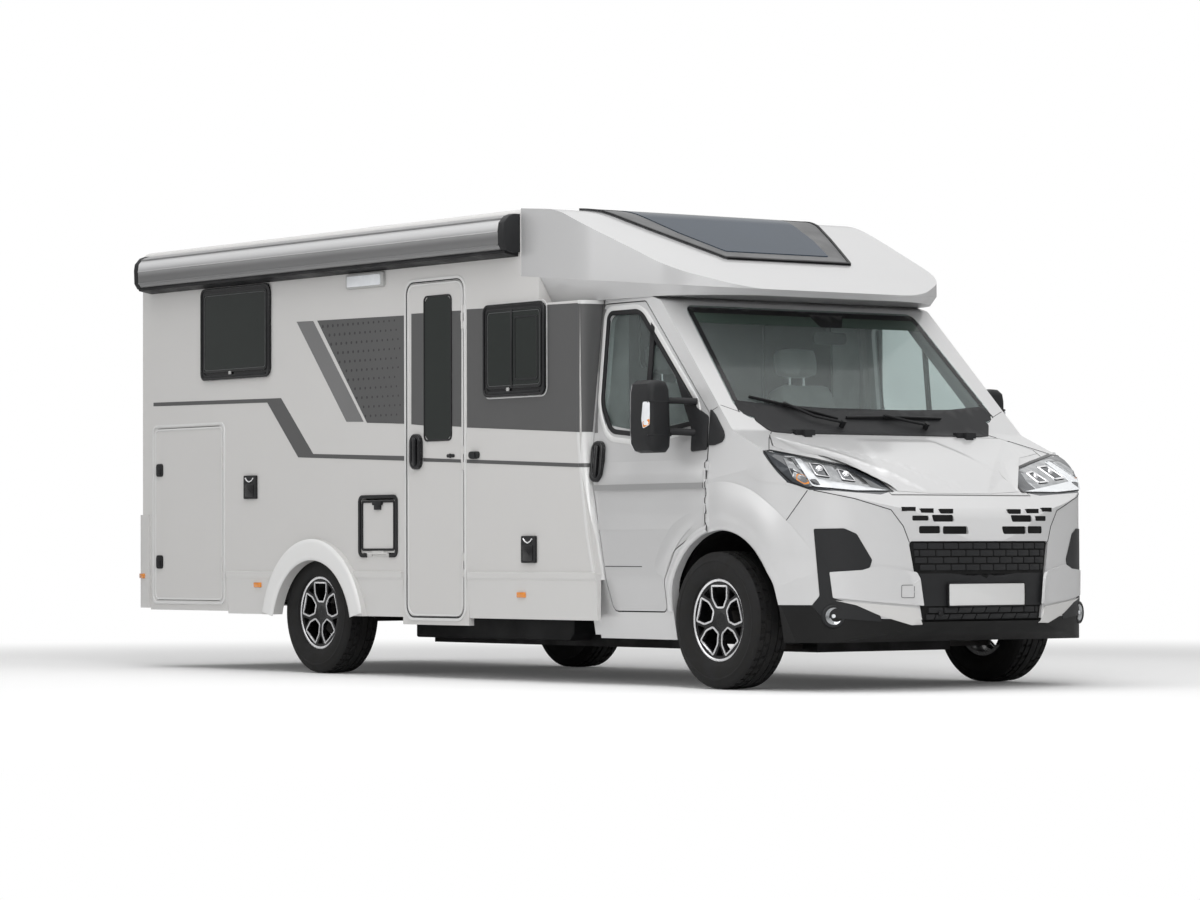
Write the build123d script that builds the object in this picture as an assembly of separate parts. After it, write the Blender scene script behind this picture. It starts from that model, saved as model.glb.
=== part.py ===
from build123d import *
from math import cos, radians, sin
import os

os.makedirs("parts", exist_ok=True)

# A low-profile coach-built motorhome. Millimetres: +X forward, +Y to the vehicle's left, +Z up.
# z = 0 is the ground and x = 0 the middle of the overall length.

# ---------------------------------------------------------------- driving dimensions
front_axle_x = 2440
wheelbase = 3800
rear_axle_x = front_axle_x - wheelbase
track = 1820
tyre_diameter = 716
tyre_width = 225
axle_z = tyre_diameter / 2

seat_gap = 0.3            # between pieces that sit on each other
door_gap = 7              # between a moving panel and its frame
turn_gap = 5.5            # at the narrowest place of a turning piece

wall_half_y = 1070        # outside of the living area's side walls
wall_thickness = 35
wall_in_y = wall_half_y - wall_thickness
wall_rear_x = front_axle_x - 5736
wall_front_x = front_axle_x - 1100
wall_foot_z = 590
roof_top_z = 2600
roof_thickness = 60
wall_top_z = roof_top_z - roof_thickness
floor_low_z = 500
floor_top_z = 560

cap_rear_x = front_axle_x - 1650
cap_foot_z = 2068
cap_wall = 25
lip_front_x = front_axle_x - 220
lip_front_z = 2100
lip_slope = 0.0884        # the lip's edge rises this much for each unit towards the rear
lip_rear_x = cap_rear_x + 170

cab_wall = 42
cab_half_y = 1022
cab_foot_z = 250
nose_x = front_axle_x + 970
tail_x = -(nose_x - 8)

rail_in_y = 400
rail_width = 60
rail_out_y = rail_in_y + rail_width

hinge_radius = 6
hinge_length = 45


# ---------------------------------------------------------------- helpers
def outline(points, radius=0):
    """Closed flat face through the points, its corners rounded by radius (a number or a list)."""
    if radius == 0:
        return make_face(Polyline(*points, close=True))
    return make_face(FilletPolyline(*points, radius=radius, close=True))


def drawn_in(points, radii, inset):
    """A closed outline with each edge moved in by inset: outer corners get tighter, hollow ones wider."""
    count = len(points)
    area = sum(points[k - 1][0] * points[k][1] - points[k][0] * points[k - 1][1] for k in range(count))
    turn = 1 if area > 0 else -1
    moved, moved_radii = [], []
    for k in range(count):
        before, here, after = Vector(*points[k - 1]), Vector(*points[k]), Vector(*points[(k + 1) % count])
        arrive, leave = (here - before).normalized(), (after - here).normalized()
        inward_a = Vector(-arrive.Y, arrive.X) * turn
        inward_b = Vector(-leave.Y, leave.X) * turn
        shift = (inward_a + inward_b) * (inset / (1 + inward_a.dot(inward_b)))
        hollow = (arrive.X * leave.Y - arrive.Y * leave.X) * turn < 0
        moved.append((here.X + shift.X, here.Y + shift.Y))
        moved_radii.append(max(radii[k] + (inset if hollow else -inset), 0) if radii[k] else 0)
    return outline(moved, moved_radii)


def side_slab(face, y_a, y_b):
    """A face drawn in (x, z), given depth between two y values."""
    high, low = max(y_a, y_b), min(y_a, y_b)
    return extrude(Plane.XZ.offset(-high) * face, amount=high - low)


def front_slab(face, x_a, x_b):
    """A face drawn in (y, z), given depth between two x values."""
    high, low = max(x_a, x_b), min(x_a, x_b)
    return extrude(Plane.YZ.offset(low) * face, amount=high - low)


def flat_slab(face, z_a, z_b):
    """A face drawn in (x, y), given depth between two z values."""
    high, low = max(z_a, z_b), min(z_a, z_b)
    return extrude(Plane.XY.offset(low) * face, amount=high - low)


def block(x_a, x_b, y_a, y_b, z_a, z_b):
    """A box between two opposite corners."""
    size = (abs(x_b - x_a), abs(y_b - y_a), abs(z_b - z_a))
    centre = ((x_a + x_b) / 2, (y_a + y_b) / 2, (z_a + z_b) / 2)
    return Pos(*centre) * Box(*size)


def post(x, y, z_a, z_b, radius):
    """An upright cylinder."""
    return Pos(x, y, (z_a + z_b) / 2) * Cylinder(radius, abs(z_b - z_a))


def cross_bar(x, z, y_a, y_b, radius):
    """A cylinder that lies across the vehicle."""
    return Pos(x, (y_a + y_b) / 2, z) * Rot(90, 0, 0) * Cylinder(radius, abs(y_b - y_a))


def rect(x_a, x_b, z_a, z_b, radius=0):
    """A rectangle between two corners, with rounded corners."""
    return outline([(x_a, z_a), (x_b, z_a), (x_b, z_b), (x_a, z_b)], radius)


def other_side(part):
    return mirror(part, about=Plane.XZ)


def both_sides(part):
    return part + other_side(part)


# ---------------------------------------------------------------- cab form
# side view of the cab, columns: distance ahead of the front axle, height, corner radius
cab_side_table = [
    (-1100, cab_foot_z, 0),
    (-1100, cap_foot_z, 0),
    (-640, cap_foot_z, 0),
    (-560, 2045, 60),
    (128, 1338, 60),
    (470, 1195, 900),
    (765, 1000, 60),
    (915, 915, 120),
    (nose_x - front_axle_x - 5, 760, 200),
    (nose_x - front_axle_x - 5, 420, 90),
    (880, 300, 120),
    (746, cab_foot_z, 0),
]
# half front view of the cab, columns: distance from the middle, height, corner radius
cab_front_table = [
    (930, 2100, 0),
    (1004, 1330, 300),
    (cab_half_y + 6, 1080, 400),
    (cab_half_y, 560, 300),
    (965, cab_foot_z - 10, 0),
]
# left half of the cab's plan, columns: ahead of the front axle, half width, outward direction (x, y)
cab_corner = (350, cab_half_y, 0.0, 1.0)
cab_shoulder = (640, 935, 0.55, 0.84)
cab_cheek = (800, 740, 0.86, 0.51)
cab_nose = (965, 0, 1.0, 0.0)
cab_rear_flare = 20


def cab_side_face(inset):
    points = [(front_axle_x + ahead, z) for ahead, z, _ in cab_side_table]
    return drawn_in(points, [radius for _, _, radius in cab_side_table], inset)


def cab_front_face(inset):
    half = [(y, z) for y, z, _ in cab_front_table]
    radii = [radius for _, _, radius in cab_front_table]
    points = half + [(-y, z) for y, z in reversed(half)]
    return drawn_in(points, radii + list(reversed(radii)), inset)


def cab_plan_point(row, inset, side=1):
    ahead, half_y, out_x, out_y = row
    return front_axle_x + ahead - inset * out_x, side * (half_y - inset * out_y)


def cab_plan_face(inset):
    rear_y = cab_half_y + cab_rear_flare - inset
    corners = [cab_plan_point(cab_corner, inset, side) for side in (1, -1)]
    shoulders = [cab_plan_point(cab_shoulder, inset, side) for side in (1, -1)]
    cheeks = [cab_plan_point(cab_cheek, inset, side) for side in (1, -1)]
    edges = [
        Line((wall_front_x, rear_y), corners[0]),
        ThreePointArc(corners[0], shoulders[0], cheeks[0]),
        ThreePointArc(cheeks[0], cab_plan_point(cab_nose, inset), cheeks[1]),
        ThreePointArc(cheeks[1], shoulders[1], corners[1]),
        Line(corners[1], (wall_front_x, -rear_y)),
        Line((wall_front_x, -rear_y), (wall_front_x, rear_y)),
    ]
    return make_face(edges)


def cab_hull(inset=0):
    """The closed outer form of the cab, drawn in by inset all round."""
    hull = side_slab(cab_side_face(inset), -1300, 1300)
    hull &= front_slab(cab_front_face(inset), wall_front_x - 10, nose_x + 10)
    return hull & flat_slab(cab_plan_face(inset), cab_foot_z - 10, cap_foot_z + 10)


cab_outer = cab_hull()
cab_inner = cab_hull(cab_wall)
cab_rear_opening = block(wall_front_x - 5, wall_front_x + cab_wall + 5, -970, 970, 0, cap_foot_z + 5)
cab_skin = cab_outer - cab_inner - cab_rear_opening

# ---------------------------------------------------------------- cab openings
front_arch_x = front_axle_x + 55
front_arch_z = 382
front_arch_radius = 441

# cab door in side view, columns: ahead of the front axle, height
cab_door_rear = -1070
cab_door_top_z = 2050
cab_door_foot_z = 392
cab_door_seam = -62
cab_door_points = [
    (cab_door_rear, cab_door_top_z),
    (-690, cab_door_top_z),
    (cab_door_seam, 1425),
    (cab_door_seam, 850),
    (-330, 720),
    (-425, 560),
    (-433, cab_door_foot_z),
    (-905, cab_door_foot_z),
    (cab_door_rear, 1180),
]
cab_door_corner = [40, 40, 40, 60, 60, 60, 40, 50, 400]
cab_glass_points = [(-1005, 1985), (-735, 1985), (-215, 1455), (-215, 1395), (-640, 1345), (-1005, 1400)]
cab_glass_corner = [60, 60, 30, 20, 200, 70]


def cab_door_face(shrink=0):
    face = outline([(front_axle_x + ahead, z) for ahead, z in cab_door_points], cab_door_corner)
    return offset(face, -shrink, kind=Kind.INTERSECTION) if shrink else face


def cab_glass_face(grow=0):
    face = outline([(front_axle_x + ahead, z) for ahead, z in cab_glass_points], cab_glass_corner)
    return offset(face, grow, kind=Kind.INTERSECTION) if grow else face


side_reach = (885, 1200)           # y range that takes in one side of the cab
glass_thickness = 5
glass_setback = 12

# windscreen in front view, columns: half width, height
screen_top = (800, 2022)
screen_low = (895, 1420)
screen_base_z = 1362
screen_ledge = 28


def screen_face(shrink=0):
    half = [screen_top, screen_low, (620, screen_base_z)]
    points = half + [(-y, z) for y, z in reversed(half)]
    face = outline(points, [60, 80, 300, 300, 80, 60])
    return offset(face, -shrink, kind=Kind.INTERSECTION) if shrink else face


screen_reach = (front_axle_x - 700, front_axle_x + 400)

# bonnet in plan, columns: ahead of the front axle, half width
bonnet_rear = 172
bonnet_points = [(bonnet_rear, 800), (330, 905), (520, 850), (700, 690), (772, 520)]
bonnet_low_z = 960


def bonnet_face(shrink=0):
    half = [(front_axle_x + ahead, y) for ahead, y in bonnet_points]
    points = half + [(x, -y) for x, y in reversed(half)]
    face = outline(points)
    return offset(face, -shrink, kind=Kind.INTERSECTION) if shrink else face


# headlamp in front view (left side), columns: distance from the middle, height
lamp_points = [(1035, 1232), (560, 1120), (480, 1012), (548, 1000), (925, 1022), (985, 1060), (1035, 1150)]
lamp_reach = (front_axle_x + 300, front_axle_x + 960)
lamp_thickness = 110


def lamp_foot_face(grow=0):
    """All that lies under the headlamp's upper edge in front view, which the bonnet leaves free."""
    points = lamp_points[:3] + [(lamp_points[2][0], 900), (lamp_points[0][0], 900)]
    return drawn_in(points, [0] * len(points), -grow)


def lamp_face(shrink=0):
    face = outline(lamp_points)
    return offset(face, -shrink, kind=Kind.INTERSECTION) if shrink else face


# bumper seam in side view, columns: ahead of the front axle, height
bumper_seam = [(373, 771), (547, 871), (640, 1030), (700, 1200), (1200, 1200), (1200, 100), (373, 100)]
valance_top = [(330, 441), (660, 441), (760, 380), (1200, 335), (1200, 100), (330, 100)]

grille_top_z = 762
grille_foot_z = 352
grille_half_top_y = 480
grille_half_foot_y = 405
grille_setback = 14
grille_depth = 30

# slots over the grille, columns: inner edge, outer edge (from the middle), centre height, slot height
nose_slots = [
    (438, 514, 925, 20),
    (322, 402, 917, 22),
    (190, 276, 914, 24),
    (366, 458, 879, 26),
    (198, 342, 878, 34),
    (300, 422, 820, 38),
    (118, 286, 818, 40),
]

# ---------------------------------------------------------------- cab panels
screen_cutter = front_slab(screen_face(), *screen_reach)
screen_hole = front_slab(screen_face(screen_ledge), *screen_reach)
glass_skin = cab_outer - cab_hull(glass_thickness)
windscreen = glass_skin & front_slab(screen_face(seat_gap), *screen_reach)

bonnet_cutter = flat_slab(bonnet_face(), bonnet_low_z, 1500) - both_sides(front_slab(lamp_foot_face(), *lamp_reach))
bonnet = cab_skin & flat_slab(bonnet_face(door_gap), bonnet_low_z, 1500)
bonnet -= both_sides(front_slab(lamp_foot_face(door_gap), *lamp_reach))
bonnet_front_x = front_axle_x + bonnet_points[-1][0] - door_gap
bonnet_lead = outline([(bonnet_front_x, 1010), (bonnet_front_x + 40, 1010), (bonnet_front_x + 40, 920), (bonnet_front_x - 48, 920)])
bonnet -= side_slab(bonnet_lead, -1000, 1000)
bonnet = max(bonnet.solids(), key=lambda solid: solid.volume)

lamp_left_cutter = front_slab(lamp_face(), *lamp_reach)
lamp_cutters = both_sides(lamp_left_cutter)
lamp_body = cab_outer - cab_hull(lamp_thickness)
headlamp_left = lamp_body & front_slab(lamp_face(seat_gap), *lamp_reach)

bumper_face = outline([(front_axle_x + ahead, z) for ahead, z in bumper_seam])
valance_face = outline([(front_axle_x + ahead, z) for ahead, z in valance_top])
bumper_cutter = side_slab(bumper_face, -1300, 1300)
valance_cutter = side_slab(valance_face, -1300, 1300)

door_cutter_left = side_slab(cab_door_face(), *side_reach)
door_raw_left = cab_skin & side_slab(cab_door_face(door_gap), *side_reach)
glass_cutter_left = side_slab(cab_glass_face(), *side_reach)
door_glass_skin = cab_hull(glass_setback) - cab_hull(glass_setback + glass_thickness)
door_glass_left = door_glass_skin & side_slab(cab_glass_face(-seat_gap), *side_reach)

front_arch = cross_bar(front_arch_x, front_arch_z, 480, 1200, front_arch_radius)
front_arches = both_sides(front_arch) + block(
    front_arch_x - front_arch_radius, front_arch_x + front_arch_radius, -1200, 1200, 0, front_arch_z
)

cab_shell = cab_skin - screen_cutter - bonnet_cutter - lamp_cutters - both_sides(door_cutter_left)
cab_shell = cab_shell - bumper_cutter - front_arches
cab_shell = cab_shell + (
    ((cab_hull(glass_thickness + seat_gap) - cab_inner) & screen_cutter) - screen_hole
)
cab_roof_opening = block(wall_front_x - 5, front_axle_x - 650, -840, 840, 1900, cap_foot_z + 5)
cab_foot_opening = block(wall_front_x - 5, nose_x, -930, 930, 100, cab_foot_z + cab_wall + 5)
cab_shell = cab_shell - cab_roof_opening - cab_foot_opening
cab_shell = Part() + [solid for solid in cab_shell.solids() if solid.volume > 1e6]

nose_slot_cutter = Part()
for inner_y, outer_y, slot_z, slot_high in nose_slots:
    slot = rect(inner_y, outer_y, slot_z - slot_high / 2, slot_z + slot_high / 2, slot_high / 4)
    nose_slot_cutter += both_sides(front_slab(slot, front_axle_x + 780, nose_x + 20))

grille_points = [
    (grille_half_top_y, grille_top_z),
    (grille_half_foot_y, grille_foot_z),
    (-grille_half_foot_y, grille_foot_z),
    (-grille_half_top_y, grille_top_z),
]
grille_opening = front_slab(outline(grille_points, 18), front_axle_x + 700, nose_x + 20)
front_bumper = (cab_skin & bumper_cutter) - valance_cutter - lamp_cutters - bonnet_cutter - front_arches
front_bumper = front_bumper - nose_slot_cutter - grille_opening - cab_foot_opening
front_bumper = max(front_bumper.solids(), key=lambda solid: solid.volume)

front_valance = (cab_skin & valance_cutter) - front_arches - grille_opening
front_valance = max(front_valance.solids(), key=lambda solid: solid.volume)

grille_skin = cab_hull(grille_setback) - cab_hull(grille_setback + grille_depth)
grille_fill = front_slab(
    offset(outline(grille_points, 18), -seat_gap), front_axle_x + 700, nose_x + 20
)
front_grille = grille_skin & grille_fill
brick_rows = 5
brick_row_z = 176 / brick_rows
for row in range(brick_rows):
    for column in range(-5, 6):
        brick_y = (column + (row % 2) / 2) * 84
        if abs(brick_y) < 400:
            pocket = rect(brick_y - 37, brick_y + 37, 584 + row * brick_row_z + 5, 584 + (row + 1) * brick_row_z - 5)
            front_grille -= front_slab(pocket, nose_x - grille_setback - 22, nose_x + 5) - cab_hull(
                grille_setback + 18
            )
front_grille = max(front_grille.solids(), key=lambda solid: solid.volume)

# ---------------------------------------------------------------- hinges
leaf_reach = 16
hinge_stand = hinge_radius + 0.5


def side_hinge(x, z_centres, skin_y, side, sink=3):
    """Barrels on an upright axis just outside a side panel: the frame's pairs and the door's ones."""
    frame, leaf = Part(), Part()
    axis_y = side * (skin_y + hinge_stand)
    leaf_y = (side * (skin_y - sink), side * (skin_y + hinge_stand - 1))
    half = hinge_length / 2
    for z in z_centres:
        leaf += post(x, axis_y, z - half, z + half, hinge_radius)
        leaf += block(x - leaf_reach, x - 1, *leaf_y, z - half, z + half)
        for end in (-1, 1):
            start = z + end * (half + seat_gap)
            stop = start + end * hinge_length
            frame += post(x, axis_y, start, stop, hinge_radius)
            frame += block(x + 1, x + leaf_reach, *leaf_y, start, stop)
    return frame, leaf


# ---------------------------------------------------------------- living area walls
# openings in the right wall, columns: ahead of the front axle (rear, front), height (low, high)
entrance = (-2760, -2200, 350, roof_top_z - 360)
garage = (-5590, -4770, 420, 1490)
rear_window = (-4990, -4240, roof_top_z - 810, roof_top_z - 290)
kitchen_window = (-1968, -1428, roof_top_z - 1010, roof_top_z - 540)
hatch = (-3242, -2880, 704, 1024)
hatch_rise = 2.5           # how much the lid's inner top edge climbs as it tips out
surround = 48
entrance_corner = 70
garage_corner = 55
window_corner = 45
hatch_corner = 20
rear_arch_x = rear_axle_x + 65
rear_arch_z = 238
rear_arch_radius = 430
flare_radius = 556
flare_proud = 30
skirt_foot_z = 345


def wall_opening(table, corner, grow=0):
    rear, front, low, high = table
    radius = corner + grow
    return rect(front_axle_x + rear - grow, front_axle_x + front + grow, low - grow, high + grow, radius)


def lip_height(x):
    return lip_front_z + lip_slope * (lip_front_x - x)


wall_points = [
    (wall_rear_x + wall_thickness, wall_foot_z),
    (wall_rear_x + wall_thickness, wall_top_z),
    (cap_rear_x, wall_top_z),
    (cap_rear_x, lip_height(cap_rear_x)),
    (lip_rear_x, lip_height(lip_rear_x)),
    (lip_rear_x, cap_foot_z),
    (wall_front_x, cap_foot_z),
    (wall_front_x, 1190),
    (front_axle_x - 958, wall_foot_z),
]
wall_plain = side_slab(outline(wall_points), -wall_half_y, -wall_in_y)
rear_arch_cutter = both_sides(cross_bar(rear_arch_x, rear_arch_z, 700, 1300, rear_arch_radius))

garage_surround = rect(front_axle_x + garage[0] - surround, front_axle_x + garage[1] + surround, 360, 1000, 0)
entrance_surround = rect(front_axle_x + entrance[0] - surround, front_axle_x + entrance[1] + surround, 303, 1000, 0)
garage_frame = side_slab(garage_surround, -wall_half_y, -wall_in_y)
entrance_frame = side_slab(entrance_surround, -wall_half_y, -wall_in_y)


# plates that close the wall against the cab's rear edge and under the cap's lip
return_thick = 25
return_in_y = 860
ledge_in_y = 900
return_out_y = wall_in_y + 5
cab_return = block(
    wall_front_x - return_thick, wall_front_x - seat_gap, -return_out_y, -return_in_y,
    floor_top_z + seat_gap, cap_foot_z - seat_gap,
) - front_slab(cab_front_face(cab_wall), 0, nose_x)
lip_ledge = block(
    lip_rear_x - return_thick, wall_front_x - seat_gap, -return_out_y, -ledge_in_y,
    cap_foot_z - return_thick, cap_foot_z - seat_gap,
)
lip_end_points = [
    (lip_rear_x - return_thick, cap_foot_z - return_thick),
    (lip_rear_x - seat_gap, cap_foot_z - return_thick),
    (lip_rear_x - seat_gap, lip_height(lip_rear_x) - seat_gap),
    (lip_rear_x - return_thick, lip_height(lip_rear_x - return_thick) - seat_gap),
]
lip_end = side_slab(outline(lip_end_points), -return_out_y, -return_in_y)
wall_plain = wall_plain + cab_return + lip_ledge + lip_end


def through(face):
    return side_slab(face, -1200, -900)


right_wall = wall_plain + garage_frame + entrance_frame - rear_arch_cutter
left_wall = other_side(wall_plain + garage_frame) - rear_arch_cutter

entrance_door = side_slab(wall_opening(entrance, entrance_corner, -door_gap), -wall_half_y, -wall_in_y)
right_garage_door = side_slab(wall_opening(garage, garage_corner, -door_gap), -wall_half_y, -wall_in_y)
hatch_lid = (*hatch[:3], hatch[3] - hatch_rise)
service_hatch = side_slab(wall_opening(hatch_lid, hatch_corner, -door_gap), -wall_half_y, -wall_in_y)
left_garage_door = other_side(right_garage_door)

right_wall = right_wall - through(wall_opening(entrance, entrance_corner))
right_wall = right_wall - through(wall_opening(garage, garage_corner))
right_wall = right_wall - through(wall_opening(hatch, hatch_corner))
left_wall = left_wall - other_side(through(wall_opening(garage, garage_corner)))

# side doors turn on upright barrels outside their front edges
garage_hinge_x = front_axle_x + garage[1] - door_gap / 2
garage_hinges = (620, 1290)
entrance_hinge_x = front_axle_x + entrance[1] - door_gap / 2
entrance_hinges = (640, 1240, roof_top_z - 570)
garage_fixed, garage_leaf = side_hinge(garage_hinge_x, garage_hinges, wall_half_y, -1)
entrance_fixed, entrance_leaf = side_hinge(entrance_hinge_x, entrance_hinges, wall_half_y, -1)
right_wall = right_wall + garage_fixed + entrance_fixed
left_wall = left_wall + other_side(garage_fixed)
entrance_door = entrance_door + entrance_leaf
right_garage_door = right_garage_door + garage_leaf
left_garage_door = other_side(right_garage_door)

# the hatch turns on a barrel along its foot, which stands on two blocks of the wall
hatch_axis_z = hatch[2] + door_gap / 2
hatch_axis_y = -(wall_half_y + hinge_stand)
hatch_mid_x = front_axle_x + (hatch[0] + hatch[1]) / 2
hatch_leaf_y = (-(wall_half_y - 3), hatch_axis_y + 1)


def length_bar(x_a, x_b, y, z, radius):
    """A cylinder that lies along the vehicle."""
    return Pos((x_a + x_b) / 2, y, z) * Rot(0, 90, 0) * Cylinder(radius, abs(x_b - x_a))


half_barrel = 60
service_hatch = service_hatch + length_bar(
    hatch_mid_x - half_barrel, hatch_mid_x + half_barrel, hatch_axis_y, hatch_axis_z, hinge_radius
)
service_hatch = service_hatch + block(
    hatch_mid_x - half_barrel, hatch_mid_x + half_barrel, *hatch_leaf_y, hatch_axis_z + 1, hatch_axis_z + leaf_reach
)
for end in (-1, 1):
    start = hatch_mid_x + end * (half_barrel + seat_gap)
    stop = start + end * hinge_length
    right_wall += length_bar(start, stop, hatch_axis_y, hatch_axis_z, hinge_radius)
    right_wall += block(start, stop, *hatch_leaf_y, hatch_axis_z - leaf_reach, hatch_axis_z - 1)

# windows: a frame that stands on the wall and a plug in its opening
window_flange = 22
window_proud = 12
window_plug = 22
bath_window = (-3350, -2950, roof_top_z - 760, roof_top_z - 360)
lounge_window = (-2150, -1350, roof_top_z - 1100, roof_top_z - 540)
left_windows = [rear_window, bath_window, lounge_window]
right_windows = [rear_window, kitchen_window]


def window_piece(table):
    flange = side_slab(
        wall_opening(table, window_corner, window_flange), -wall_half_y - window_proud, -wall_half_y
    )
    plug = side_slab(
        wall_opening(table, window_corner, -seat_gap), -wall_half_y - window_proud / 2, -wall_half_y + window_plug
    )
    recess = side_slab(
        wall_opening(table, window_corner, -8), -wall_half_y - window_proud - 1, -wall_half_y - window_proud / 2
    )
    return flange + plug - recess


wall_windows = []
for table in right_windows:
    right_wall -= through(wall_opening(table, window_corner))
    wall_windows.append(window_piece(table))
for table in left_windows:
    left_wall -= other_side(through(wall_opening(table, window_corner)))
    wall_windows.append(other_side(window_piece(table)))

# the entrance door's tall window
entrance_pane = (-2585, -2318, 1345, roof_top_z - 440)
entrance_pane_corner = 60
entrance_door -= through(wall_opening(entrance_pane, entrance_pane_corner))
entrance_window = side_slab(
    wall_opening(entrance_pane, entrance_pane_corner, -seat_gap), -wall_half_y - 3, -wall_in_y
)

# covers on the walls, columns: ahead of the front axle (rear, front), height (low, high), thickness
cover_table = [(-4514, -4376, 1038, 1179, 14), (-1632, -1501, 653, 801, 14), (-2110, -2066, 1232, 1272, 22)]
wall_covers = []
for rear, front, low, high, thick in cover_table:
    wall_covers.append(side_slab(wall_opening((rear, front, low, high), 8), -wall_half_y - thick, -wall_half_y))
hatch_trim = side_slab(wall_opening(hatch, hatch_corner, 20), -wall_half_y - 9, -wall_half_y)
hatch_trim -= through(wall_opening(hatch, hatch_corner))
hatch_trim -= block(
    hatch_mid_x - 120, hatch_mid_x + 120, -wall_half_y - 30, -wall_half_y + 5, hatch[2] - 30, hatch[2] + 10
)
wall_covers.append(hatch_trim)

# ---------------------------------------------------------------- skirts, arches and bumper at the rear
# skirt section, columns: distance from the middle, height
skirt_section = [
    (wall_in_y + 6, wall_foot_z),
    (wall_half_y, wall_foot_z),
    (wall_half_y, wall_foot_z + 14),
    (wall_half_y + 14, wall_foot_z + 10),
    (wall_half_y + 12, wall_foot_z - 20),
    (wall_half_y + 6, wall_foot_z - 34),
    (wall_half_y - 6, skirt_foot_z),
    (wall_half_y - 26, skirt_foot_z),
]
garage_edges = (front_axle_x + garage[0] - surround, front_axle_x + garage[1] + surround)
entrance_edges = (front_axle_x + entrance[0] - surround, front_axle_x + entrance[1] + surround)
skirt_front_x = front_axle_x - 955


def skirt_run(x_a, x_b):
    return front_slab(outline([(-y, z) for y, z in skirt_section]), x_a, x_b)


flare_ring = cross_bar(rear_arch_x, rear_arch_z, -wall_half_y - flare_proud, -wall_half_y, flare_radius)
flare_ring += cross_bar(
    rear_arch_x, rear_arch_z, -wall_half_y, -wall_half_y + 34, flare_radius
) & block(-9000, 9000, -1200, -900, 0, wall_foot_z)
flare_ring -= block(-9000, 9000, -1300, -900, -900, skirt_foot_z)
skirts_right = skirt_run(garage_edges[1] + seat_gap, entrance_edges[0] - seat_gap) + flare_ring
skirts_right = skirts_right - rear_arch_cutter
skirts_right = Part() + skirts_right.solids() + skirt_run(entrance_edges[1] + seat_gap, skirt_front_x)
skirts_left = skirt_run(garage_edges[1] + seat_gap, skirt_front_x) + flare_ring - rear_arch_cutter
side_skirts = skirts_right.solids() + other_side(skirts_left).solids()

bumper_half_y = 1082
bumper_foot_z = 371
bumper_top_z = 625
fin_top_z = 953
bumper_rear_x = tail_x
bumper_points = [
    (garage_edges[0] - seat_gap, bumper_half_y),
    (bumper_rear_x, bumper_half_y - 20),
    (bumper_rear_x, -bumper_half_y + 20),
    (garage_edges[0] - seat_gap, -bumper_half_y),
]
bumper_face_rear = outline(bumper_points, [0, 110, 110, 0])
bumper_inner_face = outline(
    [
        (garage_edges[0] + 10, bumper_half_y - 14),
        (bumper_rear_x + 25, bumper_half_y - 40),
        (bumper_rear_x + 25, -bumper_half_y + 40),
        (garage_edges[0] + 10, -bumper_half_y + 14),
    ],
    [0, 90, 90, 0],
)
rear_bumper = flat_slab(bumper_face_rear, bumper_foot_z, bumper_top_z)
rear_bumper -= flat_slab(bumper_inner_face, bumper_foot_z - 5, bumper_top_z - 18)
fin = flat_slab(bumper_face_rear, bumper_top_z - 18, fin_top_z) & block(
    tail_x - 5, wall_rear_x + 90, 930, 1300, 0, 3000
)
rear_bumper += both_sides(fin)
rear_bumper -= block(wall_rear_x, 0, -wall_half_y, wall_half_y, wall_foot_z - 40, 3000)
rear_bumper -= block(wall_rear_x, garage_edges[0], -wall_half_y, wall_half_y, wall_foot_z - 60, 3000)

tail_lamp_depth = 30
lamp_low_z, lamp_high_z = 655, 925
lamp_in_y, lamp_out_y = 948, 1010
tail_lamp_face = rect(lamp_in_y, lamp_out_y, lamp_low_z, lamp_high_z, 14)
tail_lamp = front_slab(offset(tail_lamp_face, -seat_gap), tail_x + 1, tail_x + tail_lamp_depth)
rear_bumper -= both_sides(front_slab(tail_lamp_face, tail_x - 5, tail_x + tail_lamp_depth + seat_gap))

rear_wall = front_slab(
    rect(-wall_half_y, wall_half_y, wall_foot_z - 38, wall_top_z), wall_rear_x, wall_rear_x + wall_thickness
)

# ---------------------------------------------------------------- roof, cap and awning
roof_edge = 45
roof_panel = block(wall_rear_x, cap_rear_x - seat_gap, -wall_half_y, wall_half_y, wall_top_z, roof_top_z)
roof_panel = fillet(
    roof_panel.edges().filter_by(Axis.X).sort_by(Axis.Z)[-2:]
    + roof_panel.edges().filter_by(Axis.Y).group_by(Axis.X)[0].sort_by(Axis.Z)[-1:],
    roof_edge,
)
vent_x = front_axle_x - 4050
vent_y = -250
vent_half = 210
roof_vents = [
    block(vent_x - vent_half, vent_x + vent_half, vent_y - vent_half, vent_y + vent_half, roof_top_z, roof_top_z + 92),
    block(front_axle_x - 2950, front_axle_x - 2250, -260, 260, roof_top_z, roof_top_z + 45),
]
roof_vents = [fillet(vent.edges().group_by(Axis.Z)[-1], 35) for vent in roof_vents]

# cap over the cab, side view columns: ahead of the front axle, height, corner radius
cap_side_table = [
    (-1650, roof_top_z, 0),
    (-1330, roof_top_z - 25, 600),
    (-660, roof_top_z - 303, 1500),
    (-215, 2098, 0),
    (-215, 1990, 0),
    (-1650, 1990, 0),
]
# half of the lip's edge, columns: behind the lip's front, distance from the middle, corner radius
cap_edge_table = [(1700, 1072, 0), (900, 1052, 1500), (250, 960, 350), (0, 600, 500)]
lip_taper = 32
cap_plane = Plane(
    origin=(lip_front_x, 0, lip_front_z), x_dir=(-1, 0, lip_slope), z_dir=(lip_slope, 0, 1)
)


def cap_edge_face(inset):
    points = [(behind, y) for behind, y, _ in cap_edge_table]
    radii = [radius for _, _, radius in cap_edge_table]
    points = points + [(behind, -y) for behind, y in reversed(points)]
    return drawn_in(points, radii + list(reversed(radii)), inset)


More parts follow.
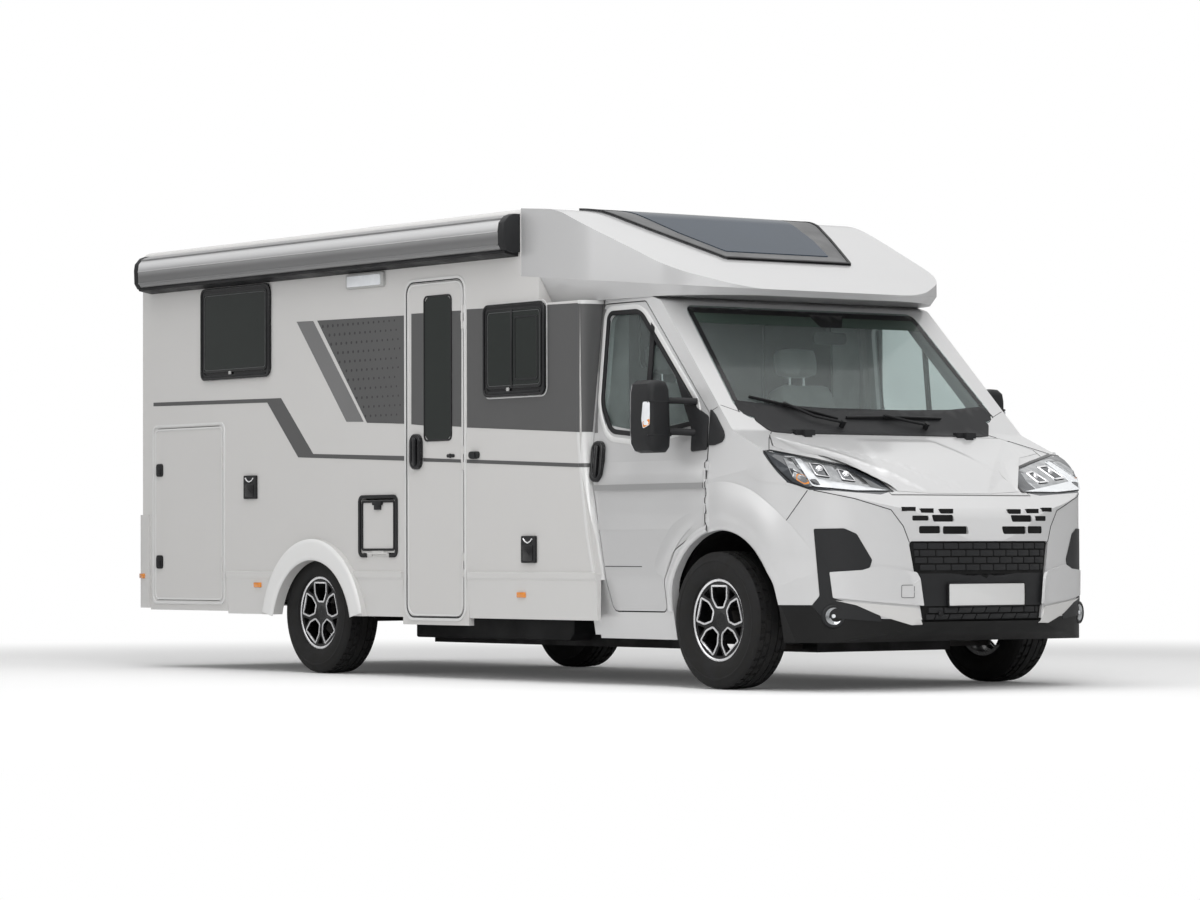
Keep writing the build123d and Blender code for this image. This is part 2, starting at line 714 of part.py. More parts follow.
def cap_side_face(inset):
    points = [(front_axle_x + ahead, z) for ahead, z, _ in cap_side_table]
    return drawn_in(points, [radius for _, _, radius in cap_side_table], inset)


def cap_form(inset=0):
    """The closed form of the cap above its edge, and the lip below it, drawn in by inset."""
    edge = cap_plane * cap_edge_face(inset)
    upper = extrude(edge, amount=700, dir=(0, 0, 1)) & side_slab(cap_side_face(inset), -1300, 1300)
    lip = extrude(edge, amount=-260, taper=lip_taper)
    lip &= block(lip_rear_x, lip_front_x + 100, -1300, 1300, cap_foot_z + inset, roof_top_z - 200)
    return upper + lip


cap_outer = cap_form()
cap_inner = cap_form(cap_wall)
cap_cavity = block(
    cap_rear_x - 5, cap_rear_x + 200, -wall_in_y, wall_in_y, cap_foot_z + 100, wall_top_z
) + block(cap_rear_x + 165, front_axle_x - 650, -840, 840, cap_foot_z - 5, cap_foot_z + 60)
# roof window in plan, columns: ahead of the front axle, half width
roof_window_points = [(-1420, 600), (-665, 425)]
roof_window_corner = 60


def roof_window_face(shrink=0):
    half = [(front_axle_x + ahead, y) for ahead, y in roof_window_points]
    face = outline(half + [(x, -y) for x, y in reversed(half)], roof_window_corner)
    return offset(face, -shrink, kind=Kind.INTERSECTION) if shrink else face


roof_window_low_z = roof_top_z - 400
roof_window_high_z = roof_top_z + 100
roof_glass = 8
roof_ledge = 45
roof_glass_skin = cap_outer - cap_form(roof_glass)
cap_window = roof_glass_skin & flat_slab(roof_window_face(seat_gap), roof_window_low_z, roof_window_high_z)
cab_cap = cap_outer - cap_inner - cap_cavity
cab_cap -= (cap_outer - cap_form(roof_glass + seat_gap)) & flat_slab(roof_window_face(), roof_window_low_z, roof_window_high_z)
cab_cap -= flat_slab(roof_window_face(roof_ledge), roof_window_low_z, roof_window_high_z)
cab_cap = max(cab_cap.solids(), key=lambda solid: solid.volume)

# awning section, columns: distance from the middle, height, corner radius
awning_table = [
    (wall_half_y, roof_top_z - 220, 0),
    (wall_half_y, roof_top_z - 35, 0),
    (wall_half_y + 40, roof_top_z - 35, 30),
    (wall_half_y + 112, roof_top_z - 100, 60),
    (wall_half_y + 106, roof_top_z - 200, 45),
    (wall_half_y + 40, roof_top_z - 248, 30),
]
awning_x = (front_axle_x - 5650, front_axle_x - 1650)
awning_face = outline([(-y, z) for y, z, _ in awning_table], [radius for _, _, radius in awning_table])
awning_box = front_slab(awning_face, *awning_x)

# ---------------------------------------------------------------- floors, chassis and running gear
wheel_box_half = 470
wheel_box_in_y = 690
wheel_box_top_z = 800
wheel_box_wall = 8


def wheel_box(grow):
    return block(
        rear_axle_x - wheel_box_half - grow, rear_axle_x + wheel_box_half + grow,
        wheel_box_in_y - grow, wall_in_y - seat_gap, floor_low_z - 40, wheel_box_top_z + grow,
    )


floor_front_x = wall_front_x - seat_gap
floor_rear_x = wall_rear_x + wall_thickness + seat_gap
floor_half_y = wall_in_y - seat_gap
step_x = (front_axle_x + entrance[0] + 10, front_axle_x + entrance[1] - 10)
step_in_y = 700
step_z = 352
step_wall = 12
door_side_y = wall_in_y - turn_gap
floor_slab = block(floor_rear_x, floor_front_x, -floor_half_y, floor_half_y, floor_low_z, floor_top_z)
for table, sides in ((garage, (-1, 1)), (entrance, (-1,))):
    for side in sides:
        floor_slab -= block(
            front_axle_x + table[0] - 10, front_axle_x + table[1] + 10,
            side * door_side_y, side * wall_half_y, floor_low_z - 10, floor_top_z + 10,
        )
floor_slab -= both_sides(wheel_box(wheel_box_wall + seat_gap))
floor_slab -= block(
    step_x[0] - seat_gap, step_x[1] + seat_gap, -wall_half_y, -step_in_y + seat_gap, floor_low_z - 10, floor_top_z + 10
)
wheel_boxes = both_sides(wheel_box(wheel_box_wall) - wheel_box(0))
wheel_boxes &= block(-9000, 9000, -wall_half_y, wall_half_y, floor_low_z, wheel_box_top_z + 100)
step_tub = block(step_x[0], step_x[1], -door_side_y, -step_in_y, step_z - step_wall, floor_top_z)
step_tub -= block(
    step_x[0] + step_wall, step_x[1] - step_wall, -wall_half_y, -step_in_y - step_wall, step_z, floor_top_z + 10
)

rail_rear_z = (floor_low_z - 80, floor_low_z)
rail_mid_z = (185, 250)
rail_front_z = (300, 400)
drop_rear_x = rear_axle_x + 480
drop_front_x = front_axle_x - 1000
frame_rear_x = tail_x + 60
frame_front_x = front_axle_x + 700
drop_half = 30
rear_rail = block(frame_rear_x, drop_rear_x, rail_in_y, rail_out_y, *rail_rear_z)
rear_rail += block(
    drop_rear_x - 2 * drop_half, drop_rear_x, rail_in_y, rail_out_y, rail_mid_z[0], floor_low_z
)
mid_rail = block(
    drop_rear_x + seat_gap, drop_front_x - 2 * drop_half - seat_gap, rail_in_y, rail_out_y, *rail_mid_z
)
front_rail = block(
    drop_front_x - 2 * drop_half, drop_front_x, rail_in_y, rail_out_y, rail_mid_z[0], floor_low_z
)
front_rail += block(drop_front_x - drop_half, frame_front_x, rail_in_y, rail_out_y, *rail_front_z)
rails = [rear_rail, mid_rail, front_rail]
rails += [other_side(part) for part in rails]
cross_half = 40
hanger_count = 3
hanger_step = (drop_front_x - drop_rear_x) / (hanger_count + 1)
cross_out_y = rail_in_y - seat_gap


def portal(x):
    """A cross bar under the floor whose two legs stand on the low rails."""
    bar = block(x - cross_half, x + cross_half, -rail_out_y, rail_out_y, floor_low_z - 60, floor_low_z)
    leg = block(x - cross_half, x + cross_half, rail_in_y, rail_out_y, rail_mid_z[1] + seat_gap, floor_low_z - 30)
    return bar + both_sides(leg)


def cross_member(x_a, x_b, z_span):
    return block(x_a, x_b, -cross_out_y, cross_out_y, *z_span)


portals = [portal(drop_rear_x + number * hanger_step) for number in range(1, hanger_count + 1)]
rear_crosses = [
    cross_member(x - cross_half, x + cross_half, rail_rear_z) for x in (rear_axle_x - 700, rear_axle_x + 420)
]
front_cross = cross_member(frame_front_x - 60, frame_front_x, rail_front_z)
subframe_half = 150
subframe_low_z = 185
subframe = block(
    front_axle_x - subframe_half, front_axle_x + subframe_half,
    -rail_out_y, rail_out_y, subframe_low_z, rail_front_z[0] - seat_gap,
)
towbar_x = frame_rear_x
towbar_z = 435
towbar_spacing_y = 83
towbar_spacing_z = 56
towbar_hole = 6.5
towbar_flange = 16
towbar_cross = cross_member(towbar_x + towbar_flange, towbar_x + towbar_flange + 2 * cross_half, rail_rear_z)
towbar_cross += block(
    towbar_x, towbar_x + towbar_flange + 2 * cross_half, -75, 75, towbar_z - 55, towbar_z + 55
)
for side in (-1, 1):
    for level in (-1, 1):
        hole = Pos(towbar_x, side * towbar_spacing_y / 2, towbar_z + level * towbar_spacing_z / 2)
        towbar_cross -= hole * Rot(0, 90, 0) * Cylinder(towbar_hole, 400)
chassis_frame = [*rails, *portals, *rear_crosses, front_cross, subframe, towbar_cross]

# ---------------------------------------------------------------- wheels
rim_radius = 203
flange_radius_rim = 219
rim_inner_radius = 194
rim_half = 84
flange_thick = 8
hub_face = 48              # from the wheel's middle plane out to its seat on the hub
disc_thick = 30
tyre_half = tyre_width / 2


def spin(points, radius=0):
    """A ring about Y from a section with columns: radius, distance along Y."""
    return revolve(outline(points, radius), Axis.Y)


def make_rim():
    barrel = [
        (rim_inner_radius, -rim_half),
        (flange_radius_rim, -rim_half),
        (flange_radius_rim, -rim_half + flange_thick),
        (rim_radius, -rim_half + flange_thick),
        (rim_radius, rim_half - flange_thick),
        (flange_radius_rim, rim_half - flange_thick),
        (flange_radius_rim, rim_half),
        (rim_inner_radius, rim_half),
    ]
    disc = [
        (0, -hub_face),
        (74, -hub_face),
        (96, -hub_face - 8),
        (rim_inner_radius + 2, -hub_face - 12),
        (rim_inner_radius + 2, -hub_face - 34),
        (96, -hub_face - 30),
        (40, -hub_face - 24),
        (0, -hub_face - 24),
    ]
    rim = spin(barrel) + revolve(outline(disc), Axis.Y)
    for number in range(5):
        turn = Rot(0, 72 * number, 0)
        rim -= turn * spoke_windows()
    return rim


def polar_point(radius, degrees):
    return radius * cos(radians(degrees)), radius * sin(radians(degrees))


# windows of one spoke pitch, columns: radius, angle from the window's middle
wide_window = [(76, -22), (76, 22), (128, 25), (187, 17), (187, -17), (128, -25)]
fork_window = [(128, 0), (187, 9.5), (187, -9.5)]


def spoke_windows():
    wide = outline([polar_point(radius, 90 + angle) for radius, angle in wide_window], 9)
    fork = outline([polar_point(radius, 54 + angle) for radius, angle in fork_window], 5)
    return side_slab(wide, -200, 0) + side_slab(fork, -200, 0)


def make_tyre():
    section = [
        (rim_radius + seat_gap, -rim_half + flange_thick + seat_gap),
        (flange_radius_rim + seat_gap, -rim_half + flange_thick + seat_gap),
        (flange_radius_rim + 4, -rim_half - 6),
        (250, -tyre_half + 6),
        (292, -tyre_half),
        (334, -tyre_half + 9),
        (tyre_diameter / 2, -tyre_half + 30),
    ]
    section = section + [(radius, -along) for radius, along in reversed(section)]
    return spin(section)


rim = make_rim()
tyre = make_tyre()
wheel_places = {
    "front_right": (front_axle_x, -1),
    "front_left": (front_axle_x, 1),
    "rear_right": (rear_axle_x, -1),
    "rear_left": (rear_axle_x, 1),
}


def place_wheel(part, x, side):
    placed = Pos(x, -track / 2, axle_z) * part
    return placed if side < 0 else other_side(placed)


# ---------------------------------------------------------------- front suspension and rear axle
king_pin_y = 840
hub_out_y = track / 2 + hub_face - seat_gap
hub_radius = 70
knuckle_low_z = 226
knuckle_high_z = 490
knuckle = cross_bar(front_axle_x, axle_z, king_pin_y - 60, hub_out_y, hub_radius)
knuckle += post(front_axle_x, king_pin_y, knuckle_low_z, knuckle_high_z, 30)
left_knuckle = knuckle
right_knuckle = other_side(knuckle)

liner_in_y = 500
liner_out_y = 925
liner_radius = 474
liner_wall = 6
strut_y = 650
strut_top_z = 860
arm_low_z = knuckle_low_z - seat_gap - 26
arm_half = 28
front_suspension = block(
    front_axle_x - arm_half, front_axle_x + arm_half, rail_out_y, king_pin_y, arm_low_z, arm_low_z + 26
) + post(front_axle_x, king_pin_y, arm_low_z, knuckle_low_z - seat_gap, 34)
front_suspension = [front_suspension]
upper = block(
    front_axle_x - arm_half, front_axle_x + arm_half, strut_y, king_pin_y,
    knuckle_high_z + seat_gap, knuckle_high_z + 26,
)
upper += post(front_axle_x, king_pin_y, knuckle_high_z + seat_gap, knuckle_high_z + 26, 32)
upper += post(front_axle_x, strut_y, knuckle_high_z + seat_gap, strut_top_z, 26)
upper &= cross_bar(front_arch_x, front_arch_z, 500, 1000, liner_radius - seat_gap)
front_suspension.append(upper)
front_suspension = front_suspension + [other_side(part) for part in front_suspension]

axle_tube_radius = 55
rear_axle = cross_bar(rear_axle_x, axle_z, -hub_out_y, hub_out_y, axle_tube_radius)
rear_axle += both_sides(cross_bar(rear_axle_x, axle_z, 690, hub_out_y - 60, 130))
rear_axle += both_sides(
    block(rear_axle_x - 60, rear_axle_x + 460, rail_out_y, rail_out_y + 60, axle_z - 35, axle_z + 30)
)
rear_axle += both_sides(
    block(rear_axle_x + 400, rear_axle_x + 460, rail_out_y, rail_out_y + 60, axle_z - 35, floor_low_z)
)

# ---------------------------------------------------------------- cab floor, engine and cab inside
cab_floor_z = (520, 556)
firewall_x = front_axle_x + 95
foot_half_y = liner_in_y - liner_wall - seat_gap
cab_floor = block(wall_front_x + seat_gap, front_axle_x - 470, -930, 930, *cab_floor_z)
cab_floor += block(front_axle_x - 480, firewall_x, -foot_half_y, foot_half_y, *cab_floor_z)
cab_floor += block(firewall_x - 20, firewall_x, -foot_half_y, foot_half_y, cab_floor_z[0], 1240)
liner = cross_bar(front_arch_x, front_arch_z, liner_in_y - liner_wall, liner_out_y, liner_radius + liner_wall)
liner -= cross_bar(front_arch_x, front_arch_z, liner_in_y, liner_out_y + 5, liner_radius)
liner &= block(0, 9000, 0, 1200, front_arch_z + 4, 2000)

engine_half_y = 330
engine_block = block(
    firewall_x + 40, front_axle_x + 640, -engine_half_y, engine_half_y, rail_front_z[1] - 30, 930
)
engine_feet = both_sides(
    block(
        firewall_x + 200, firewall_x + 320, engine_half_y - 5, rail_out_y - 10,
        rail_front_z[1] + seat_gap, rail_front_z[1] + 40,
    )
)
engine_block += engine_feet

dash_points = [
    (firewall_x - 20 - seat_gap, 900),
    (firewall_x - 20 - seat_gap, 1230),
    (firewall_x - 40, 1290),
    (front_axle_x - 210, 1300),
    (front_axle_x - 330, 1230),
    (front_axle_x - 330, 1120),
    (front_axle_x - 200, 900),
]
dash_half_y = 930
dashboard = side_slab(outline(dash_points), -dash_half_y, dash_half_y)

wheel_centre = (front_axle_x - 470, 450, 1245)
steer_wheel_plane = Plane(origin=wheel_centre, z_dir=(-0.80, 0, 0.60))
steering_wheel = steer_wheel_plane * Torus(185, 15)
steering_wheel += steer_wheel_plane * Pos(0, 0, -18) * Cylinder(62, 36)
for degrees in (0, 130, 230):
    steering_wheel += steer_wheel_plane * Rot(0, 0, degrees) * Pos(120, 0, -8) * Box(130, 34, 14)
steering_wheel += steer_wheel_plane * Pos(0, 0, -110) * Cylinder(24, 190)
steering_wheel -= dashboard

seat_y = 450
seat_x = front_axle_x - 760
seat_base_top_z = 880
cab_seats = []
for side in (-1, 1):
    base = block(seat_x - 200, seat_x + 200, side * seat_y - 180, side * seat_y + 180, cab_floor_z[1], seat_base_top_z)
    cushion = block(
        seat_x - 250, seat_x + 250, side * seat_y - 245, side * seat_y + 245, seat_base_top_z, seat_base_top_z + 130
    )
    back = side_slab(
        outline(
            [
                (seat_x - 130, seat_base_top_z + 120),
                (seat_x - 250, seat_base_top_z + 120),
                (seat_x - 400, seat_base_top_z + 760),
                (seat_x - 300, seat_base_top_z + 790),
            ],
            20,
        ),
        side * seat_y - 235, side * seat_y + 235,
    )
    head = block(
        seat_x - 415, seat_x - 315, side * seat_y - 140, side * seat_y + 140,
        seat_base_top_z + 740, seat_base_top_z + 960,
    )
    cab_seats.append(base + cushion + back + head)

# ---------------------------------------------------------------- mirrors and cab doors
mirror_x = (front_axle_x - 430, front_axle_x - 250)
mirror_y = (1085, 1250)
mirror_z = (1225, 1610)
door_mirror = fillet(block(*mirror_x, *mirror_y, *mirror_z).edges(), 30)
for arm_z in (1290, 1530):
    door_mirror += block(front_axle_x - 320, front_axle_x - 270, 960, 1150, arm_z - 22, arm_z + 22)
door_mirror += block(front_axle_x - 330, front_axle_x - 140, 960, 1030, 1260, 1390)
door_mirror += block(front_axle_x - 345, front_axle_x - 265, 940, 1010, 1330, 1555)
left_mirror = door_mirror - cab_outer

cab_hinge_x = front_axle_x + cab_door_seam - door_gap / 2
cab_hinges = (930, 1110)
cab_hinge_skin_y = 1029
cab_fixed, cab_leaf = side_hinge(cab_hinge_x, cab_hinges, cab_hinge_skin_y, 1, sink=18)
left_door = door_raw_left - glass_cutter_left
left_door = max(left_door.solids(), key=lambda solid: solid.volume) + cab_leaf
cab_shell = cab_shell + both_sides(cab_fixed)
right_door = other_side(left_door)
left_mirror = left_mirror - left_door

bonnet_hinge_x = front_axle_x + bonnet_rear + door_gap / 2
bonnet_hinge_z = 1338
for y in (-560, 560):
    barrel = cross_bar(bonnet_hinge_x, bonnet_hinge_z, y - 25, y + 25, hinge_radius)
    bonnet = bonnet + barrel + block(bonnet_hinge_x + 1, bonnet_hinge_x + 30, y - 25, y + 25, 1290, bonnet_hinge_z - 1)
    for end in (-1, 1):
        start = y + end * (25 + seat_gap)
        stop = start + end * 40
        cab_shell += cross_bar(bonnet_hinge_x, bonnet_hinge_z, start, stop, hinge_radius)
        cab_shell += block(bonnet_hinge_x - 30, bonnet_hinge_x - 1, start, stop, 1300, bonnet_hinge_z + 2)

# ---------------------------------------------------------------- files
pieces = {
    "right_wall": right_wall,
    "left_wall": left_wall,
    "rear_wall": rear_wall,
    "roof_panel": roof_panel,
    "roof_fittings": [*roof_vents, awning_box],
    "cab_cap": cab_cap,
    "wall_windows": wall_windows,
    "wall_covers": wall_covers,
    "side_skirts": side_skirts,
    "rear_bumper": rear_bumper,
    "floor_panel": [floor_slab, wheel_boxes, step_tub],
    "chassis_frame": chassis_frame,
    "axles": [*front_suspension, rear_axle],
    "engine_block": engine_block,
    "cab_shell": cab_shell,
    "cab_floor": [cab_floor, liner, other_side(liner)],
    "front_bumper": front_bumper,
    "front_valance": front_valance,
    "front_grille": front_grille,
    "lamps": [headlamp_left, other_side(headlamp_left), tail_lamp, other_side(tail_lamp)],
    "front_glass": [windscreen, cap_window],
    "cab_furniture": [dashboard, *cab_seats],
    "steering_wheel": steering_wheel,
    "bonnet": bonnet,
    "left_cab_door": left_door,
    "right_cab_door": right_door,
    "left_door_glass": door_glass_left,
    "right_door_glass": other_side(door_glass_left),
    "left_mirror": left_mirror,
    "right_mirror": other_side(left_mirror),
    "entrance_door": entrance_door,
    "entrance_window": entrance_window,
    "right_garage_door": right_garage_door,
    "left_garage_door": left_garage_door,
    "service_hatch": service_hatch,
    "left_knuckle": left_knuckle,
    "right_knuckle": right_knuckle,
}
for corner, (wheel_x, side) in wheel_places.items():
    pieces[f"{corner}_rim"] = place_wheel(rim, wheel_x, side)
    pieces[f"{corner}_tyre"] = place_wheel(tyre, wheel_x, side)

for node, piece in pieces.items():
    solids = [solid for part in (piece if isinstance(piece, list) else [piece]) for solid in part.solids()]
    shape = solids[0] if len(solids) == 1 else Compound(children=solids)
    export_step(shape, f"parts/{node}.step")
    print(node, len(solids))
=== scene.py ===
from math import atan2, cos, pi, radians, sin

import bmesh
import bpy
from mathutils import Matrix, Vector
from mathutils.bvhtree import BVHTree


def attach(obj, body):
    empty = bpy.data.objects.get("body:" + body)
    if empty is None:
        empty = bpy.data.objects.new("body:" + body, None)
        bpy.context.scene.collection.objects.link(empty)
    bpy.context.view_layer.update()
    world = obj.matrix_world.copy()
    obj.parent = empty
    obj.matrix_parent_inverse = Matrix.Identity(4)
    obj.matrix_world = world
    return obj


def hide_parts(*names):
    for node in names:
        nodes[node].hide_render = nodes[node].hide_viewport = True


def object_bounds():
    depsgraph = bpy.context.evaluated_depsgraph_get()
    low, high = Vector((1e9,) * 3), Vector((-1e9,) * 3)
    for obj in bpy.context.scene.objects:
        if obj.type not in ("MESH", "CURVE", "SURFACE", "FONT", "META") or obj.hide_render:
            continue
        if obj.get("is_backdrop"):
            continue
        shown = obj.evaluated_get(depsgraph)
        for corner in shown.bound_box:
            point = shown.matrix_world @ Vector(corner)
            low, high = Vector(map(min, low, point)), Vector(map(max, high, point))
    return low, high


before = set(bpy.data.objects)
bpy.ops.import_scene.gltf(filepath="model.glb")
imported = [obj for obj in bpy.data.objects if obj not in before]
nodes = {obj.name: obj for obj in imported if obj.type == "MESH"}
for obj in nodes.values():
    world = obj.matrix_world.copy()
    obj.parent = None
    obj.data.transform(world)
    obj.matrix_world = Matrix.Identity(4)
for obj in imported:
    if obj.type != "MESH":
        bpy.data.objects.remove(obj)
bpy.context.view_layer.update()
print("frame loaded:", len(nodes), "nodes")

# ---- camera
cameraFacts = {
    "place": (18.9187, -14.0307, 0.7154),
    "yaw": 0.930636, "pitch": 0.0249268, "roll": -0.00307186,
    "lens": 121.93, "sensor": 36.0,
}


def makeCamera(facts):
    yaw, pitch, roll = facts["yaw"], facts["pitch"], facts["roll"]
    ahead = Vector((-sin(yaw) * cos(pitch), cos(yaw) * cos(pitch), sin(pitch)))
    level = Vector((cos(yaw), sin(yaw), 0))
    upright = level.cross(ahead)
    right = level * cos(roll) + upright * sin(roll)
    top = upright * cos(roll) - level * sin(roll)
    data = bpy.data.cameras.new("camera")
    data.lens, data.sensor_width = facts["lens"], facts["sensor"]
    data.clip_end = 200
    cam = bpy.data.objects.new("camera", data)
    turned = Matrix((right, top, -ahead)).transposed().to_4x4()
    cam.matrix_world = Matrix.Translation(facts["place"]) @ turned
    bpy.context.scene.collection.objects.link(cam)
    bpy.context.scene.camera = cam


makeCamera(cameraFacts)
bpy.context.scene.view_settings.view_transform = "Standard"


# ---- finishes
def blank(name):
    made = bpy.data.materials.new(name)
    made.use_nodes = True
    tree = made.node_tree
    shader = tree.nodes["Principled BSDF"]
    return made, tree, shader


def wire(tree, a, b):
    tree.links.new(a, b)


def objectPoint(tree, scale=(1, 1, 1)):
    coord = tree.nodes.new("ShaderNodeTexCoord")
    mapping = tree.nodes.new("ShaderNodeMapping")
    mapping.inputs["Scale"].default_value = scale
    wire(tree, coord.outputs["Object"], mapping.inputs["Vector"])
    return mapping.outputs["Vector"]


def noise(tree, point, scale, detail=3.0, rough=0.5):
    made = tree.nodes.new("ShaderNodeTexNoise")
    made.inputs["Scale"].default_value = scale
    made.inputs["Detail"].default_value = detail
    made.inputs["Roughness"].default_value = rough
    wire(tree, point, made.inputs["Vector"])
    return made.outputs["Fac"]


def ranged(tree, value, low, high, fromLow=0.3, fromHigh=0.7):
    made = tree.nodes.new("ShaderNodeMapRange")
    made.interpolation_type = "SMOOTHSTEP"
    made.inputs["From Min"].default_value = fromLow
    made.inputs["From Max"].default_value = fromHigh
    made.inputs["To Min"].default_value = low
    made.inputs["To Max"].default_value = high
    wire(tree, value, made.inputs["Value"])
    return made.outputs["Result"]


def blended(tree, factor, colourA, colourB):
    made = tree.nodes.new("ShaderNodeMix")
    made.data_type = "RGBA"
    slots = [s for s in made.inputs if s.type == "RGBA"]
    for slot, colour in zip(slots, (colourA, colourB)):
        if isinstance(colour, tuple):
            slot.default_value = (*colour[:3], 1)
        else:
            wire(tree, colour, slot)
    wire(tree, factor, made.inputs["Factor"])
    return [s for s in made.outputs if s.type == "RGBA"][0]


def bumped(tree, shader, height, strength, distance):
    made = tree.nodes.new("ShaderNodeBump")
    made.inputs["Strength"].default_value = strength
    made.inputs["Distance"].default_value = distance
    wire(tree, height, made.inputs["Height"])
    wire(tree, made.outputs["Normal"], shader.inputs["Normal"])


finishTable = {
    # colour, second colour, roughness low-high, metallic, coat, grain scale, grain strength, patch scale
    "wallPaint": ((0.582, 0.575, 0.565), (0.572, 0.565, 0.555), 0.30, 0.36, 0.0, 0.25, 420, 0.006, 0.6),
    "frameWhite": ((0.66, 0.66, 0.655), (0.65, 0.65, 0.645), 0.28, 0.34, 0.1, 0.4, 500, 0.004, 1.0),
    "cabPaint": ((0.605, 0.605, 0.607), (0.597, 0.597, 0.599), 0.32, 0.36, 0.30, 0.35, 900, 0.002, 0.5),
    # the cab doors' paint: the cab's paint made darker, as painted shade for the doors, which catch less light than the
    # wing
    "doorPaintShaded": ((0.535, 0.535, 0.537), (0.527, 0.527, 0.529), 0.32, 0.36, 0.30, 0.35, 900, 0.002, 0.5),
    "creaseShade": ((0.36, 0.36, 0.362), (0.35, 0.35, 0.352), 0.28, 0.34, 0.5, 0.7, 900, 0.003, 0.9),
    "capShell": ((0.520, 0.520, 0.523), (0.512, 0.512, 0.515), 0.28, 0.34, 0.2, 0.5, 700, 0.002, 0.5),
    "skirtShell": ((0.60, 0.595, 0.585), (0.585, 0.58, 0.57), 0.30, 0.36, 0.05, 0.4, 600, 0.006, 0.6),
    "bandGrey": ((0.074, 0.074, 0.0745), (0.067, 0.067, 0.0675), 0.34, 0.44, 0.0, 0.2, 700, 0.010, 1.6),
    "stripeGrey": ((0.158, 0.158, 0.159), (0.146, 0.146, 0.147), 0.34, 0.44, 0.0, 0.2, 700, 0.010, 1.6),
    "dotBlack": ((0.046, 0.046, 0.047), (0.040, 0.040, 0.041), 0.36, 0.46, 0.0, 0.1, 700, 0.010, 2.0),
    "ventWhite": ((0.42, 0.42, 0.415), (0.40, 0.40, 0.395), 0.40, 0.48, 0.0, 0.0, 900, 0.05, 5.0),
    "greyTrim": ((0.085, 0.086, 0.088), (0.075, 0.076, 0.078), 0.38, 0.5, 0.0, 0.0, 700, 0.08, 6.0),
    "blackPlastic": ((0.014, 0.014, 0.015), (0.009, 0.009, 0.010), 0.42, 0.58, 0.0, 0.0, 1400, 0.16, 5.0),
    "slate": ((0.018, 0.0184, 0.0195), (0.015, 0.0154, 0.0165), 0.46, 0.55, 0.0, 0.0, 1200, 0.08, 3.0),
    "lowBlack": ((0.006, 0.006, 0.006), (0.005, 0.005, 0.005), 0.5, 0.6, 0.0, 0.0, 1200, 0.08, 3.0),
    "deepBlack": ((0.006, 0.006, 0.006), (0.004, 0.004, 0.004), 0.7, 0.85, 0.0, 0.0, 900, 0.05, 8.0),
    "glossBlack": ((0.012, 0.012, 0.013), (0.008, 0.008, 0.009), 0.12, 0.2, 0.0, 0.3, 600, 0.01, 8.0),
    "wheelBlack": ((0.008, 0.008, 0.0085), (0.005, 0.005, 0.006), 0.24, 0.34, 0.0, 0.3, 600, 0.02, 12.0),
    "alloy": ((0.80, 0.80, 0.81), (0.70, 0.70, 0.72), 0.2, 0.34, 0.75, 0.2, 900, 0.02, 14.0),
    "chrome": ((0.85, 0.85, 0.86), (0.78, 0.78, 0.8), 0.06, 0.12, 1.0, 0.0, 300, 0.005, 12.0),
    "reflector": ((0.46, 0.47, 0.48), (0.30, 0.31, 0.32), 0.12, 0.24, 0.9, 0.3, 60, 0.03, 18.0),
    "lampDark": ((0.060, 0.066, 0.074), (0.035, 0.039, 0.045), 0.14, 0.22, 0.2, 0.5, 80, 0.02, 12.0),
    "lampWhite": ((0.80, 0.82, 0.84), (0.72, 0.74, 0.77), 0.16, 0.26, 0.0, 0.5, 200, 0.02, 16.0),
    "rubber": ((0.011, 0.011, 0.0115), (0.016, 0.0155, 0.015), 0.66, 0.86, 0.0, 0.0, 900, 0.18, 14.0),
    "frameSteel": ((0.020, 0.020, 0.021), (0.013, 0.0125, 0.0125), 0.45, 0.65, 0.3, 0.0, 120, 0.15, 8.0),
    "iron": ((0.055, 0.052, 0.050), (0.035, 0.032, 0.030), 0.6, 0.8, 0.4, 0.0, 160, 0.3, 10.0),
    "silverExtrusion": ((0.29, 0.29, 0.292), (0.28, 0.28, 0.282), 0.32, 0.38, 0.8, 0.1, 700, 0.004, 1.0),
    # the rear arch's trim: its own paler colour, brightened further as a painted highlight
    "archPaleAndHighlight": ((0.74, 0.74, 0.735), (0.73, 0.73, 0.725), 0.28, 0.34, 0.0, 0.4, 600, 0.004, 0.6),
    "dashPlastic": ((0.045, 0.05, 0.055), (0.035, 0.04, 0.045), 0.55, 0.7, 0.0, 0.0, 900, 0.2, 7.0),
    "redLens": ((0.42, 0.012, 0.010), (0.34, 0.008, 0.008), 0.08, 0.16, 0.0, 0.6, 260, 0.05, 30.0),
    "amber": ((0.75, 0.26, 0.03), (0.62, 0.20, 0.02), 0.10, 0.18, 0.0, 0.6, 260, 0.05, 30.0),
}


def plainFinish(name):
    colour, second, roughLow, roughHigh, metal, coat, grainScale, grainStrength, patch = finishTable[name]
    made, tree, shader = blank(name)
    point = objectPoint(tree)
    cloud = noise(tree, point, patch, 4.0)
    fine = noise(tree, point, grainScale, 2.0)
    wire(tree, blended(tree, ranged(tree, cloud, 0, 1), colour, second), shader.inputs["Base Color"])
    wire(tree, ranged(tree, cloud, roughLow, roughHigh), shader.inputs["Roughness"])
    shader.inputs["Metallic"].default_value = metal
    shader.inputs["Coat Weight"].default_value = coat
    shader.inputs["Coat Roughness"].default_value = 0.06
    if colour[1] < 0.06:
        shader.inputs["Specular IOR Level"].default_value = 0.22
    bumped(tree, shader, fine, grainStrength, 0.002)
    return made


